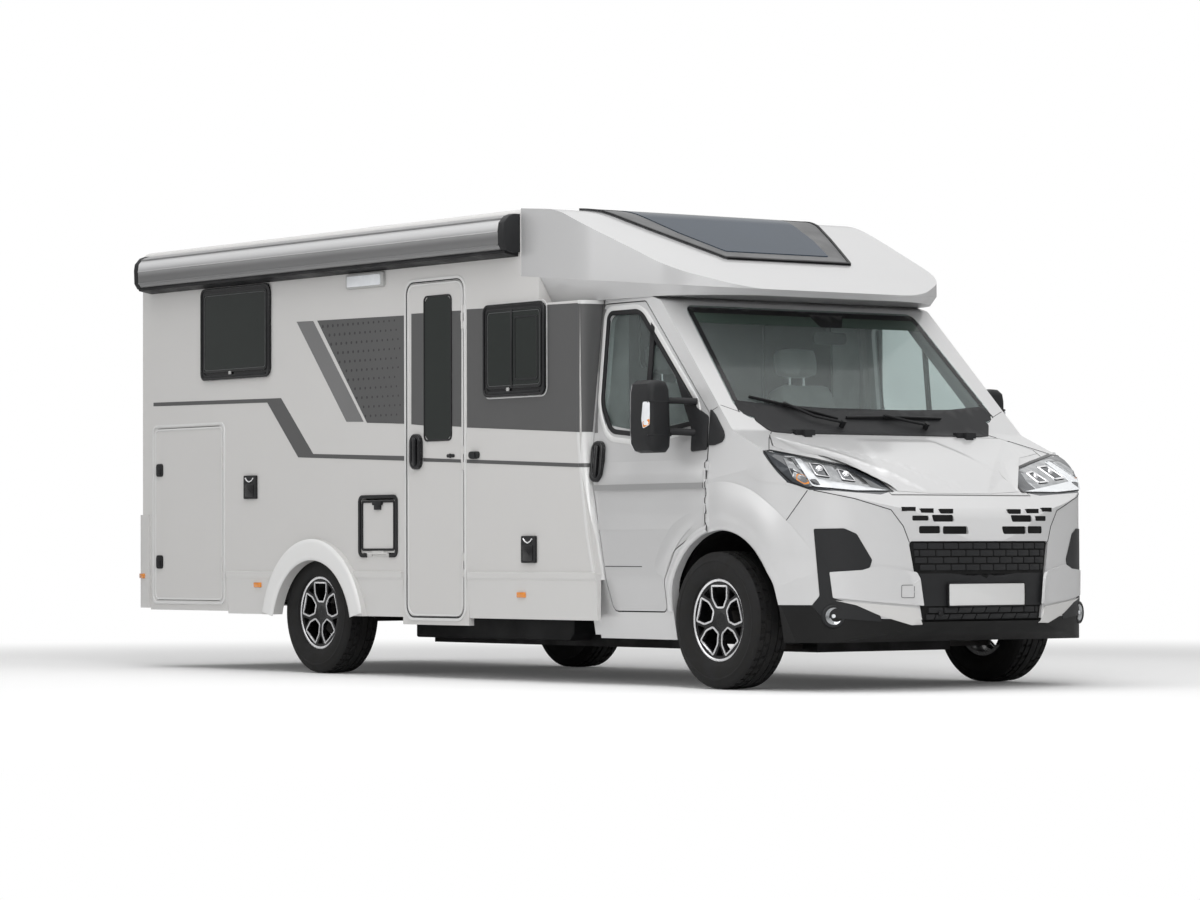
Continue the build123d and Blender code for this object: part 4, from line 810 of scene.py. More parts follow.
def swage(x0, x1, profile):    # a rolled crease: a lip above, a hollow, a shoulder below
    rows = []
    stations = [x0, x0 + 0.03] + [x0 + 0.03 + (x1 - x0 - 0.06) * k / 6 for k in range(1, 7)] + [x1]
    for k, x in enumerate(stations):
        strength = 0.0 if k in (0, len(stations) - 1) else 1.0
        rows.append([(x, -(cabHalf(z) + w * strength + 0.0008), z) for z, w in profile])
    bm = lofted(rows)
    return thickened(bm, 0.002)


finishedPair("door_crease", [swage(1.440, 2.362, swageProfile)], "doorPaintShaded", "cab_door", smooth=60)
shade = slab([(1.425, 1.070), (2.362, 1.070), (2.362, 1.040), (1.425, 1.040)], 0.0005, 0.0135)
finishedPair("crease_shade", [onCabSide(dense(shade, 0.2))], "creaseShade", "cab_door")

arch = {"x": 2.495, "z": 0.382}
flareProfile = [(0.441, 0.002), (0.446, 0.013), (0.462, 0.017), (0.480, 0.011), (0.500, 0.016), (0.540, 0.020),
                (0.600, 0.017), (0.645, 0.010), (0.690, 0.000)]
lipProfile = [(0.441, 0.002), (0.446, 0.013), (0.462, 0.017), (0.478, 0.010), (0.486, 0.000)]


# degrees: step and fading end; metres: taper's length, lift off the skin, depth of the faded end,
# thickness of the sheet; folded is the least upright part of a face's normal that stays
flareTable = {"step": 2.5, "fading": 16, "taper": 0.16, "atGap": 0.12, "lift": 0.0008, "sunk": 0.004, "sheet": 0.002,
              "folded": 0.2}


def flare(profile, start, stop, names, low=-9.0, high=9.0, fade=None, centre=arch, gap=None):
    # a swollen arch edge, laid on the skin
    facts = flareTable
    count = max(4, int(abs(stop - start) / facts["step"]))
    rows = []
    for k in range(count + 1):
        turn = start + (stop - start) * k / count
        angle = radians(turn)
        full = 1.0 if fade is None else min(1.0, abs(turn - fade) / facts["fading"])
        full = full * full * (3 - 2 * full)
        row = []
        for r, w in profile:
            x = min(high, max(low, centre["x"] + cos(angle) * r))
            near = 1.0 if gap is None else min(1.0, abs(x - gap) / facts["taper"])
            near = facts["atGap"] + (1 - facts["atGap"]) * near * near * (3 - 2 * near)
            out = (w + facts["lift"]) * full * near - facts["sunk"] * (1 - full)
            row.append((x, centre["z"] + sin(angle) * r, out))
        rows.append(row)
    bm = lofted(rows)
    bm.normal_update()
    folded = [f for f in bm.faces if abs(f.normal.z) < facts["folded"]]    # on edge, where the rows meet the gap
    bmesh.ops.delete(bm, geom=folded, context="FACES")
    laid(bm, rightSide, names)
    return thickened(bm, facts["sheet"])


finishedPair("arch_flare", [flare(flareProfile, 16, 104.5, cabSkin, low=2.3845, fade=16, gap=2.3845)], "cabPaint",
             smooth=60)
finishedPair("arch_lip", [flare(lipProfile, 103.5, 178, ("cab_shell", "right_cab_door"))], "cabPaint", smooth=60)
doorFlare = [(0.517, 0.000), (0.535, 0.008), (0.560, 0.011), (0.590, 0.007), (0.620, 0.000)]
finishedPair("door_flare", [flare(doorFlare, 100, 162, doorSkin, high=2.3655, fade=162, gap=2.3655)], "doorPaintShaded",
             "cab_door", smooth=60)

rearArch = {"x": -1.295, "z": 0.238}
rearProfile = [(0.4305, 0.000), (0.436, 0.007), (0.455, 0.010), (0.490, 0.007), (0.525, 0.009), (0.545, 0.007),
               (0.5550, 0.000)]
# the rear arch flare takes the pale trim colour with a painted highlight in it
finishedPair("rear_arch", [flare(rearProfile, 13, 167, ("side_skirts",), centre=rearArch)], "archPaleAndHighlight", smooth=60)


def cornerBand(zs):    # the band and the line carried round the corner
    rows = []
    for z in zs:
        pairs = list(zip(fairingTable, fairingTable[1:]))
        (z1, w1, c1), (z0, w0, c0) = next(((a, b) for a, b in pairs if a[0] >= z >= b[0]), pairs[-1])
        share = (z - z0) / (z1 - z0)
        rows.append((z, w0 + (w1 - w0) * share, c0 + (c1 - c0) * share))
    bm = cornerFairing(rows)
    bmesh.ops.translate(bm, verts=bm.verts, vec=(0.0009, -0.0013, 0))
    return bm


finishedPair("corner_band", [cornerBand([2.048, 1.90, 1.70, 1.50, 1.358])], "bandGrey", smooth=60)
finishedPair("corner_line", [cornerBand([1.189, 1.168])], "bandGrey", smooth=60)
# ---- joints between the cab's panels
seams = [
    seam([(3.084, -0.932, 1.020), (2.981, -0.989, 0.866), (2.806, -1.022, 0.774)], quarter, cabSkin),
    seam([(3.109, -0.913, 1.020), (3.235, -0.750, 0.978), (3.309, -0.570, 0.921), (3.330, -0.507, 0.838),
          (3.339, -0.475, 0.756)], quarter, cabSkin),
    seam([(2.544, -0.711, 1.362), (2.674, -0.847, 1.294), (2.823, -0.969, 1.231)], quarter, ("cab_shell",)),
    seam([(2.372, -1.03, 1.42), (2.470, -1.0, 1.47), (2.53, -0.9, 1.43)], quarter, ("cab_shell",), 0.0015),
    seam([(1.396, -1.03, 0.636), (1.822, -1.03, 0.634)], rightSide, doorSkin, 0.002),
    seam([(2.3795, -1.03, 1.415), (2.3795, -1.03, 0.825)], rightSide, ("cab_shell",), 0.0024),
]
finishedPair("panel_joints", seams, "blackPlastic")

# ---- headlamps
lampOutline = [(2.829, -1.014, 1.225), (2.829, -0.963, 1.232), (2.893, -0.733, 1.190), (2.939, -0.540, 1.150),
               (2.985, -0.470, 1.120), (3.080, -0.440, 1.068), (3.182, -0.438, 1.016), (3.180, -0.703, 1.017),
               (3.109, -0.913, 1.036), (3.084, -0.932, 1.028), (3.008, -0.977, 1.060), (2.954, -0.998, 1.107),
               (2.892, -1.014, 1.160)]
lampSkin = ("lamps", "bonnet", "cab_shell", "front_bumper")
finishedPair("lamp_body", [onSkin(lampOutline, quarter, lampSkin, -0.004, 0.002, 0.006)], "lampDark", smooth=50)
tipCover = [(2.715, -1.03, 1.243), (2.826, -1.03, 1.240), (2.833, -1.03, 1.212), (2.882, -1.03, 1.168),
            (2.935, -1.03, 1.112),
            (2.985, -1.03, 1.066), (2.985, -1.03, 1.050), (2.800, -1.03, 1.072), (2.715, -1.03, 1.110)]
finishedPair("lamp_tip_cover", [onSkin(tipCover, rightSide, ("lamps", "cab_shell"), -0.001, 0.0025, 0.004)], "cabPaint",
             smooth=50)
lampEdge = ring(seenFrom(quarter, lampOutline), 0.0065, 0.001, 0.0055, 0.006, 0.0, 0.05)
finishedPair("lamp_edge", [laid(lampEdge, quarter, lampSkin)], "glossBlack", smooth=50)
innerBowl = [(2.893, -0.930, 1.205), (2.906, -0.824, 1.192), (2.921, -0.690, 1.168), (2.958, -0.560, 1.138),
             (3.060, -0.530, 1.072), (3.150, -0.560, 1.028), (3.119, -0.719, 1.045), (3.097, -0.880, 1.047),
             (3.060, -0.935, 1.048), (3.009, -0.955, 1.085)]
finishedPair("lamp_bowl", [onSkin(innerBowl, quarter, lampSkin, 0.001, 0.0035, 0.008)], "reflector", smooth=50)
strip = [(2.913, -0.878, 1.189), (2.906, -0.836, 1.188), (3.089, -0.870, 1.080), (3.119, -0.719, 1.058),
         (3.178, -0.470, 1.022), (3.175, -0.686, 1.021), (3.109, -0.905, 1.040), (3.097, -0.916, 1.046)]
finishedPair("lamp_strip", [onSkin(strip, quarter, lampSkin, 0.003, 0.010, 0.006, 0.0, 0.05)], "lampWhite", smooth=50)
signal = [(2.904, -0.944, 1.190), (2.913, -0.897, 1.187), (3.090, -0.920, 1.050), (3.070, -0.940, 1.046),
          (3.009, -0.966, 1.085)]
finishedPair("lamp_signal", [onSkin(signal, quarter, lampSkin, 0.003, 0.006, 0.005, 0.0, 0.05)], "reflector", smooth=50)
amberLow = [(3.000, -0.935, 1.105), (3.022, -0.905, 1.100), (3.085, -0.918, 1.055), (3.066, -0.938, 1.050),
            (3.020, -0.955, 1.075)]
finishedPair("lamp_amber", [onSkin(amberLow, quarter, lampSkin, 0.005, 0.008, 0.005, 0.0, 0.05)], "amber", smooth=50)
modules = [
    [(2.935, -0.805, 1.168), (2.935, -0.715, 1.160), (3.070, -0.766, 1.088), (3.055, -0.855, 1.098)],
    [(2.992, -0.664, 1.137), (2.998, -0.595, 1.125), (3.095, -0.617, 1.068), (3.085, -0.705, 1.076)],
]
for number, places in enumerate(modules, 1):
    bowl = onSkin(places, quarter, lampSkin, 0.003, 0.007, 0.010, 0.0, 0.05)
    rim = laid(ring(seenFrom(quarter, places), 0.006, 0.006, 0.014, 0.010, 0.0, 0.05), quarter, lampSkin)
    finishedPair(f"lamp_module{number}", [rim], "chrome", smooth=50)
    finishedPair(f"lamp_module_back{number}", [bowl], "lampDark", smooth=50)
    middle = sum((Vector(p) for p in places), Vector()) / len(places)
    lens = turned([(0.0, 0.020), (0.010, 0.018), (0.018, 0.012), (0.021, 0.004), (0.021, 0.0), (0.0, 0.0)], 20)
    hit = skinOf(lampSkin).ray_cast(middle + Vector(quarter) * 3, -Vector(quarter).normalized())[0]
    finishedPair(f"lamp_lens{number}", [placed(lens, hit, quarter)], "chrome", smooth=60)

# ---- bumper
bumperSkin = ("front_bumper", "front_valance", "front_grille")
insert = [(3.108, -0.913, 0.826), (3.210, -0.797, 0.828), (3.240, -0.740, 0.800), (3.273, -0.666, 0.668),
          (3.268, -0.676, 0.630), (3.252, -0.713, 0.612), (3.165, -0.858, 0.607), (3.176, -0.845, 0.477),
          (3.238, -0.743, 0.442), (3.289, -0.625, 0.385), (3.291, -0.620, 0.355), (3.140, -0.885, 0.380),
          (3.099, -0.921, 0.438), (3.130, -0.894, 0.487)]
finishedPair("bumper_insert", [onSkin(insert, quarter, bumperSkin, -0.002, 0.004, 0.008, 0.0, 0.05)], "slate",
             smooth=40)
barPlaces = [(3.165, -0.858, 0.607), (3.252, -0.713, 0.617), (3.282, -0.644, 0.640), (3.337, -0.427, 0.605),
             (3.342, -0.408, 0.574), (3.347, -0.388, 0.435), (3.297, -0.604, 0.452), (3.176, -0.845, 0.477)]
finishedPair("bumper_bar", [onSkin(barPlaces, quarter, ("front_bumper",), -0.002, 0.012, 0.006, 0.0, 0.05)], "cabPaint",
             smooth=40)
skid = [(3.182, -0.836, 0.464), (3.350, -0.435, 0.424), (3.347, -0.396, 0.338), (3.341, -0.466, 0.337),
        (3.289, -0.625, 0.385), (3.238, -0.743, 0.440)]
finishedPair("bumper_skid", [onSkin(skid, quarter, ("front_bumper", "front_valance"), -0.002, 0.007, 0.005, 0.0, 0.05)],
             "skirtShell", smooth=40)
cover = [(3.326, -0.519, 0.541), (3.346, -0.448, 0.541), (3.346, -0.449, 0.474), (3.326, -0.520, 0.475)]
finished("tow_cover", [laid(ring(seenFrom(quarter, cover), 0.0028, 0.011, 0.0135, 0.008, 0.0, 0.05), quarter,
                            ("front_bumper",))], "greyTrim")

fogTable = {"place": (3.176, -0.842, 0.385), "facing": (0.90, -0.43, 0.0), "lens": 0.043}


def fogLamp(facts):
    r = facts["lens"]
    shellRing = turned([(r + 0.016, -0.02), (r + 0.016, 0.010), (r + 0.010, 0.014), (r + 0.001, 0.010),
                        (r + 0.001, -0.01),
                        (r + 0.008, -0.02), (r + 0.016, -0.02)])
    bowl = turned([(0.0, -0.004), (r * 0.5, 0.0), (r * 0.9, 0.007), (r, 0.009), (r, -0.01), (0.0, -0.012)])
    bulb = turned([(0.0, 0.012), (r * 0.22, 0.010), (r * 0.26, 0.0), (r * 0.26, -0.004), (0.0, -0.004)], 16)
    for stem, shape, finish in (("ring", shellRing, "slate"), ("bowl", bowl, "reflector"), ("bulb", bulb, "lampWhite")):
        finishedPair(f"fog_{stem}", [placed(shape, facts["place"], facts["facing"])], finish, smooth=60)


fogLamp(fogTable)

# ---- grille: a field of raised blocks, the plate and the sensor
grilleTable = {"top": 0.752, "blockHigh": 0.029, "blockWide": 0.084, "gap": 0.0075, "rows": 4, "half": 0.452,
               "lean": 0.12}


def onGrille(bm):    # the grille's face: bowed across, leaning back below
    for v in bm.verts:
        y, z, w = v.co
        v.co = (min(3.391 - 0.29 * y * y, 3.3445 + (z - 0.36) * 0.70) + w, y, z)
    bmesh.ops.recalc_face_normals(bm, faces=bm.faces)
    return bm


def grilleBlocks(facts):
    shapes = []
    pitch, rise = facts["blockWide"] + facts["gap"], facts["blockHigh"] + facts["gap"]
    for row in range(facts["rows"]):
        z = facts["top"] - rise * (row + 1) + facts["gap"]
        half = facts["half"] - facts["lean"] * (facts["top"] - z)
        shift = 0.5 * pitch * (row % 2)
        count = int(half / pitch) + 2
        for k in range(-count, count + 1):
            low, high = k * pitch + shift, k * pitch + shift + facts["blockWide"]
            low, high = max(low, -half), min(high, half)
            if high - low < 0.018:
                continue
            block = slab(box(low, high, z, z + facts["blockHigh"]), -0.002, 0.009, 0.005, 0.002)
            shapes.append(onGrille(block))
    return shapes


backFace = slab([(-0.462, 0.758), (0.462, 0.758), (0.445, 0.594), (-0.445, 0.594)], -0.010, 0.0030, 0.006, 0.0, 0.06)
finished("grille_back", [onGrille(backFace)], "deepBlack")
finished("grille_blocks", grilleBlocks(grilleTable), "slate")
centre = onSkin([(0, -0.445, 0.598), (0, 0.445, 0.598), (0, 0.425, 0.432), (0, -0.425, 0.432)], ahead,
                ("front_grille", "front_bumper"), -0.004, 0.006, 0.01, 0.0, 0.06)
finished("grille_centre", [centre], "slate")
lowGrille = dict(grilleTable, top=0.424, blockHigh=0.027, rows=2, half=0.395, lean=0.25)
finished("low_blocks", grilleBlocks(lowGrille), "slate")
sensor = turned([(0.0, 0.012), (0.012, 0.012), (0.015, 0.009), (0.015, 0.0), (0.0, 0.0)], 20)
finished("front_sensor", [placed(sensor, (3.372, -0.30, 0.392), ahead)], "blackPlastic")
plateSlab = slab(box(-0.260, 0.260, 0.432, 0.546), 0.0, 0.003, 0.010, 0.001)
plateFrame = ring(box(-0.266, 0.266, 0.426, 0.552), 0.008, -0.004, 0.005, 0.014, 0.0015)
plateBack = slab(box(-0.262, 0.262, 0.430, 0.548), -0.012, 0.0, 0.010)
finished("front_plate", [placed(plateSlab, (3.394, 0, 0), ahead)], "frameWhite")
finished("front_plate_frame", [placed(s, (3.394, 0, 0), ahead) for s in (plateFrame, plateBack)], "blackPlastic")

# ---- windscreen: dark border, tinted top, cowl, wipers, mirror pod
glassSkin = ("front_glass",)
screen = [(0, -0.792, 2.012), (0, 0.792, 2.012), (0, 0.884, 1.428), (0, 0.618, 1.370), (0, -0.618, 1.370),
          (0, -0.884, 1.428)]
border = ring([(y, z) for x, y, z in screen], 0.030, -0.0004, 0.0016, 0.02, 0.0, 0.06)
finished("screen_border", [laid(border, ahead, glassSkin)], "glossBlack", smooth=60)
finished("screen_top_tint", [onSkin([(0, -0.772, 1.995), (0, 0.772, 1.995), (0, 0.784, 1.925), (0, -0.784, 1.925)],
                                    ahead,
                                    glassSkin, 0.0002, 0.0012)], "screenTop", smooth=60)
podPlaces = [(0, 0.034, 1.996), (0, 0.276, 1.996), (0, 0.215, 1.925), (0, 0.060, 1.925)]
finished("screen_pod", [onSkin(podPlaces, ahead, glassSkin, 0.001, 0.0022, 0.01)], "glossBlack", smooth=60)
cowlPlaces = [(0, -0.872, 1.500), (0, -0.60, 1.478), (0, -0.25, 1.468), (0, 0.25, 1.466), (0, 0.60, 1.474),
              (0, 0.872, 1.500),
              (0, 0.888, 1.430), (0, 0.620, 1.368), (0, -0.620, 1.368), (0, -0.888, 1.430)]
finished("screen_base", [onSkin(cowlPlaces, ahead, glassSkin, 0.0004, 0.0022, 0.01)], "slate", smooth=60)
cowlPlan = [(2.530, -0.640), (2.486, -0.790), (2.515, -0.815), (2.590, -0.745), (2.606, -0.660), (2.606, 0.660),
            (2.590, 0.745), (2.515, 0.815), (2.486, 0.790), (2.530, 0.640)]
finished("cowl", [laid(slab(cowlPlan, -0.002, 0.004, 0.012, 0.0, 0.05), above, ("cab_shell", "front_glass"))], "slate",
         smooth=50)
hingeCovers = [slab([(2.5845, y0), (2.6225, y0), (2.6225, y1), (2.5845, y1)], 1.300, 1.3455, 0.0, 0.003)
               for y0, y1 in ((-0.6256, -0.5855), (-0.5345, -0.4944), (0.4944, 0.5345), (0.5855, 0.6256))]
finished("cowl_hinge_covers", hingeCovers, "slate")
leafCovers = [slab([(2.6095, y - 0.0252), (2.6470, y - 0.0252), (2.6470, y + 0.0252), (2.6095, y + 0.0252)], 1.300,
                   1.3455,
                   0.0, 0.003) for y in (-0.56, 0.56)]
finished("bonnet_hinge_covers", leafCovers, "slate", "bonnet")
wiperTable = [
    # pivot, elbow, tip of the arm, two ends of the blade
    ((2.545, -0.250, 1.372), (2.508, -0.420, 1.400), (2.440, -0.560, 1.470), (2.395, -0.760, 1.512),
     (2.500, -0.245, 1.404)),
    ((2.545, 0.330, 1.368), (2.530, 0.200, 1.385), (2.500, 0.080, 1.415), (2.497, -0.183, 1.411),
     (2.492, 0.483, 1.416)),
]


def wiper(facts):
    out = Vector((0.62, 0, 0.78)).normalized()
    pivot, elbow, tip, bladeA, bladeB = [Vector(p) for p in facts]
    arm = tube([pivot + out * 0.022, elbow + out * 0.026, tip + out * 0.022], 0.0075)
    hinge = tube([pivot + out * -0.006, pivot + out * 0.034], 0.015)
    lift = [bladeA.lerp(bladeB, k / 8) + out * (0.010 + 0.006 * sin(pi * k / 8)) for k in range(9)]
    blade = tube(lift, 0.0065)
    rubberEdge = tube([bladeA.lerp(bladeB, k / 8) + out * 0.004 for k in range(9)], 0.0035)
    clip = tube([tip + out * 0.008, tip + out * 0.026], 0.011)
    return [arm, hinge, blade, rubberEdge, clip]


finished("wipers", wiper(wiperTable[0]) + wiper(wiperTable[1]), "blackPlastic", smooth=60)

# ---- skylight
capSkin = ("cab_cap", "front_glass")
skyPane = [(1.712, -0.360, 0), (1.712, 0.360, 0), (1.446, 0.470, 0), (1.200, 0.530, 0), (1.030, 0.560, 0),
           (1.030, -0.560, 0), (1.200, -0.530, 0), (1.446, -0.470, 0)]
skyOuter = [(1.815, -0.440), (1.815, 0.440), (1.600, 0.545), (1.400, 0.640), (1.180, 0.735), (0.960, 0.800),
            (0.960, -0.800), (1.180, -0.735), (1.400, -0.640), (1.600, -0.545)]
finished("sky_trim", [laid(slab(skyOuter, -0.002, 0.010, 0.012, 0.0, 0.07), above, capSkin)], "greyTrim", smooth=40)
finished("sky_pane", [laid(slab([p[:2] for p in skyPane], 0.004, 0.014, 0.010, 0.0, 0.07), above, capSkin)], "skyGlass",
         smooth=40)
finished("sky_edge", [laid(ring(skyOuter, 0.016, 0.004, 0.015, 0.012, 0.0, 0.07), above, capSkin)], "blackPlastic",
         smooth=40)

# ---- mirrors' signal lenses
mirrorSkin = ("right_mirror",)

lensPlaces = [(2.132, -1.25, 1.492), (2.178, -1.24, 1.490), (2.178, -1.24, 1.372), (2.132, -1.25, 1.352),
              (2.118, -1.25, 1.40)]
finishedPair("mirror_lens", [onSkin(lensPlaces, quarter, mirrorSkin, -0.004, 0.0010, 0.008, 0.0, 0.04)], "lampWhite",
             "cab_door")
lensLow = [(2.128, -1.25, 1.388), (2.176, -1.24, 1.402), (2.176, -1.24, 1.374), (2.134, -1.25, 1.356)]
finishedPair("mirror_lens_amber", [onSkin(lensLow, quarter, mirrorSkin, -0.004, 0.0016, 0.006, 0.0, 0.04)], "amber",
             "cab_door")
print("cab made")
# ---- even skins over the bonnet
bonnetTable = {
    "outline": [(2.654, -0.802), (2.700, -0.838), (2.775, -0.885), (2.822, -0.880), (2.852, -0.800), (2.882, -0.700),
                (2.925, -0.525), (2.968, -0.452), (3.065, -0.418), (3.178, -0.415), (3.194, -0.200)],
    "panel": [(2.600, 0.190), (2.760, 0.245), (3.000, 0.345), (3.220, 0.450)],    # half width of the raised middle
    "rise": 0.010, "soft": 0.070, "low": 0.0005, "high": 0.0022, "step": 0.030, "smooth": 24,
}


def panelHalf(table, x):
    for (x0, y0), (x1, y1) in zip(table, table[1:]):
        if x <= x1:
            return y0 + (y1 - y0) * max(0.0, (x - x0) / (x1 - x0))
    return table[-1][1]


def bonnetSkin(facts):
    right = facts["outline"]
    outline = right + [(x, -y) for x, y in reversed(right)]
    bm = dense(outlined(outline), facts["step"])
    laid(bm, above, ("bonnet",))
    inner = [v for v in bm.verts if not v.is_boundary]
    for turn in range(facts["smooth"]):
        bmesh.ops.smooth_vert(bm, verts=inner, factor=0.5, use_axis_x=False, use_axis_y=False, use_axis_z=True)
    for v in bm.verts:
        share = (panelHalf(facts["panel"], v.co.x) + facts["soft"] - abs(v.co.y)) / facts["soft"]
        share = min(1.0, max(0.0, share))
        far = min(1.0, max(0.0, (3.185 - v.co.x) / 0.12)) * min(1.0, max(0.0, (v.co.x - 2.660) / 0.06))
        v.co.z += facts["low"] + facts["rise"] * share * share * (3 - 2 * share) * far
    bmesh.ops.recalc_face_normals(bm, faces=bm.faces)
    grown = bmesh.ops.extrude_face_region(bm, geom=bm.faces[:])["geom"]
    lifted = [g for g in grown if isinstance(g, bmesh.types.BMVert)]
    bmesh.ops.translate(bm, verts=lifted, vec=(0, 0, facts["high"] - facts["low"]))
    bmesh.ops.recalc_face_normals(bm, faces=bm.faces)
    return bm


finished("bonnet_skin", bonnetSkin(bonnetTable), "cabPaint", "bonnet", 50)

# ---- mirrors
mirrorTable = {
    "face": [(1.098, 1.470), (1.102, 1.560), (1.122, 1.598), (1.160, 1.608), (1.205, 1.606), (1.236, 1.585),
             (1.246, 1.540),
             (1.2475, 1.430), (1.2480, 1.330), (1.2450, 1.275), (1.222, 1.238), (1.180, 1.227), (1.120, 1.229),
             (1.098, 1.255),
             (1.092, 1.330)],
    "x": (2.022, 2.186), "round": 0.040,
    "arms": [(1.500, 0.017), (1.338, 0.019)],
}


def makeMirror(facts):
    x0, x1 = facts["x"]
    shell = outlined([(-y, z) for y, z in facts["face"]])
    raised(shell, 0.0, x1 - x0)
    top = [f for f in shell.faces if f.normal.z > 0.9]
    rim = [e for f in top for e in f.edges]
    bmesh.ops.bevel(shell, geom=rim, offset=facts["round"], offset_type="OFFSET", affect="EDGES", segments=5,
                    profile=0.5, material=-1, clamp_overlap=True)
    body = placed(shell, (x0, 0, 0), ahead)
    groove = [(2.168, -1.094, 1.492), (2.182, -1.13, 1.492), (2.182, -1.215, 1.492), (2.168, -1.248, 1.492)]
    shapes = [body, tube(groove, 0.006), tube([(x, y, 1.318) for x, y, z in groove], 0.005)]
    for z, r in facts["arms"]:
        shapes.append(tube([(2.145, -1.115, z), (2.185, -1.070, z), (2.235, -1.030, z - 0.004),
                            (2.262, -0.992, z - 0.006)], r, rounds=4))
    return shapes


def mirrorGlass(facts):
    inner = outlined([(y, z) for y, z in facts["face"]])
    faces = inner.faces[:]
    bmesh.ops.inset_region(inner, faces=faces, thickness=0.014, use_even_offset=True, use_boundary=True)
    bmesh.ops.delete(inner, geom=[f for f in inner.faces if f not in faces], context="FACES")
    raised(inner, -0.004, 0.002)
    return placed(inner, (facts["x"][0], 0, 0), behind)


for piece, side in zip(finishedPair("mirror_shell", makeMirror(mirrorTable), "slate", "cab_door", 40),
                       ("right", "left")):
    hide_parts(f"{side}_mirror")
finishedPair("mirror_glass", [mirrorGlass(mirrorTable)], "chrome", "cab_door")

# ---- dark backs of the slots as painted shade inside them, seals in the gaps
slotTable = [(0.438, 0.514, 0.925, 0.020), (0.322, 0.402, 0.917, 0.022), (0.190, 0.276, 0.914, 0.024),
             (0.366, 0.458, 0.879, 0.026),
             (0.198, 0.342, 0.878, 0.034), (0.300, 0.422, 0.820, 0.038), (0.118, 0.286, 0.818, 0.040)]
slotShadeBacks = []
for y0, y1, z, high in slotTable:
    for side in (-1, 1):
        a, b = sorted((side * y0, side * y1))
        hits = [skinOf(("front_bumper",)).find_nearest(Vector((3.42, y, z + high)))[0].x for y in (a, b)]
        back = slab(box(a - 0.001, b + 0.001, z - high / 2 - 0.001, z + high / 2 + 0.001), -0.010, -0.005)
        for v in back.verts:
            share = (v.co.x - a) / (b - a)
            v.co = (hits[0] + (hits[1] - hits[0]) * share + v.co.z, v.co.x, v.co.y)
        bmesh.ops.recalc_face_normals(back, faces=back.faces)
        slotShadeBacks.append(back)
# near-black plates behind the slots: painted shade inside the openings
finished("slot_shade_backs", slotShadeBacks, "deepBlack")
sillSeals = [slab(box(1.395, 2.030, 0.372, 0.402), 0.0, 0.010), slab(box(2.360, 2.392, 0.880, 1.420), 0.0, 0.004)]
finishedPair("door_gap_seals", [placed(s, (0, -0.955, 0), rightSide) for s in sillSeals], "blackPlastic")
print("skins made")

# ---- tyres and rims
tyreTable = {
    "middle": 0.9105, "steps": 132,
    # distance across from the middle, radius; the tread's bands lie between the last rows
    "half": [(0.086, 0.2155), (0.098, 0.2195), (0.1075, 0.236), (0.1118, 0.262), (0.1120, 0.280), (0.1105, 0.300),
             (0.1125, 0.304), (0.1122, 0.309), (0.1095, 0.313), (0.1065, 0.328), (0.101, 0.340), (0.095, 0.3475),
             (0.090, 0.3510)],
    "ribs": [(0.090, 0.062, 0.3535), (0.054, 0.027, 0.3565), (0.019, -0.019, 0.358)],
    "grooveDepth": 0.0075, "blockCut": 0.006,
}


def tyreOutline(facts):
    side = facts["half"]
    tread = []
    for outer, inner, r in facts["ribs"]:
        floor = r - facts["grooveDepth"]
        if tread:
            tread.append((outer + 0.001, floor))
        tread += [(outer, r), (inner, r)]
        if inner > 0:
            tread.append((inner - 0.001, floor))
    half = side + tread
    whole = half[:-1] + [(-s, r) for s, r in reversed(half[:-1])]
    return whole + [(-0.080, 0.2120), (0.080, 0.2120), (0.086, 0.2155)]


def makeTyre(facts):
    bm = bmesh.new()
    line = [bm.verts.new((r, 0, s)) for s, r in tyreOutline(facts)]
    edges = [bm.edges.new(pair) for pair in zip(line, line[1:])]
    bmesh.ops.spin(bm, geom=line + edges, cent=(0, 0, 0), axis=(0, 0, 1), dvec=(0, 0, 0), angle=2 * pi,
                   steps=facts["steps"], use_merge=True)
    bmesh.ops.remove_doubles(bm, verts=bm.verts, dist=1e-5)
    bmesh.ops.recalc_face_normals(bm, faces=bm.faces)
    cuts = []
    turnStep = 2 * pi / facts["steps"]
    for f in bm.faces:
        place = f.calc_center_median()
        r = Vector((place.x, place.y)).length
        if r < 0.352:
            continue
        across = abs(place.z)
        sector = int(((atan2(place.y, place.x) + 2 * pi) / turnStep) + 0.5)
        shoulder = 0.066 < across < 0.088
        rib = 0.028 < across < 0.053
        if (shoulder and sector % 3 == 0) or (rib and sector % 4 == (1 if place.z > 0 else 3)):
            cuts.append(f)
    bmesh.ops.inset_region(bm, faces=cuts, thickness=0.0014, depth=-facts["blockCut"], use_even_offset=True)
    bmesh.ops.recalc_face_normals(bm, faces=bm.faces)
    return bm


rimTable = {"bolts": 5, "boltRadius": 0.050, "edge": 0.0095}
wideBorder = [(68, -27), (68, 27), (129, 30), (194, 20.5), (194, -20.5), (129, -30)]


def polar(radius, angle):
    return (radius / 1000 * cos(radians(angle)), radius / 1000 * sin(radians(angle)))


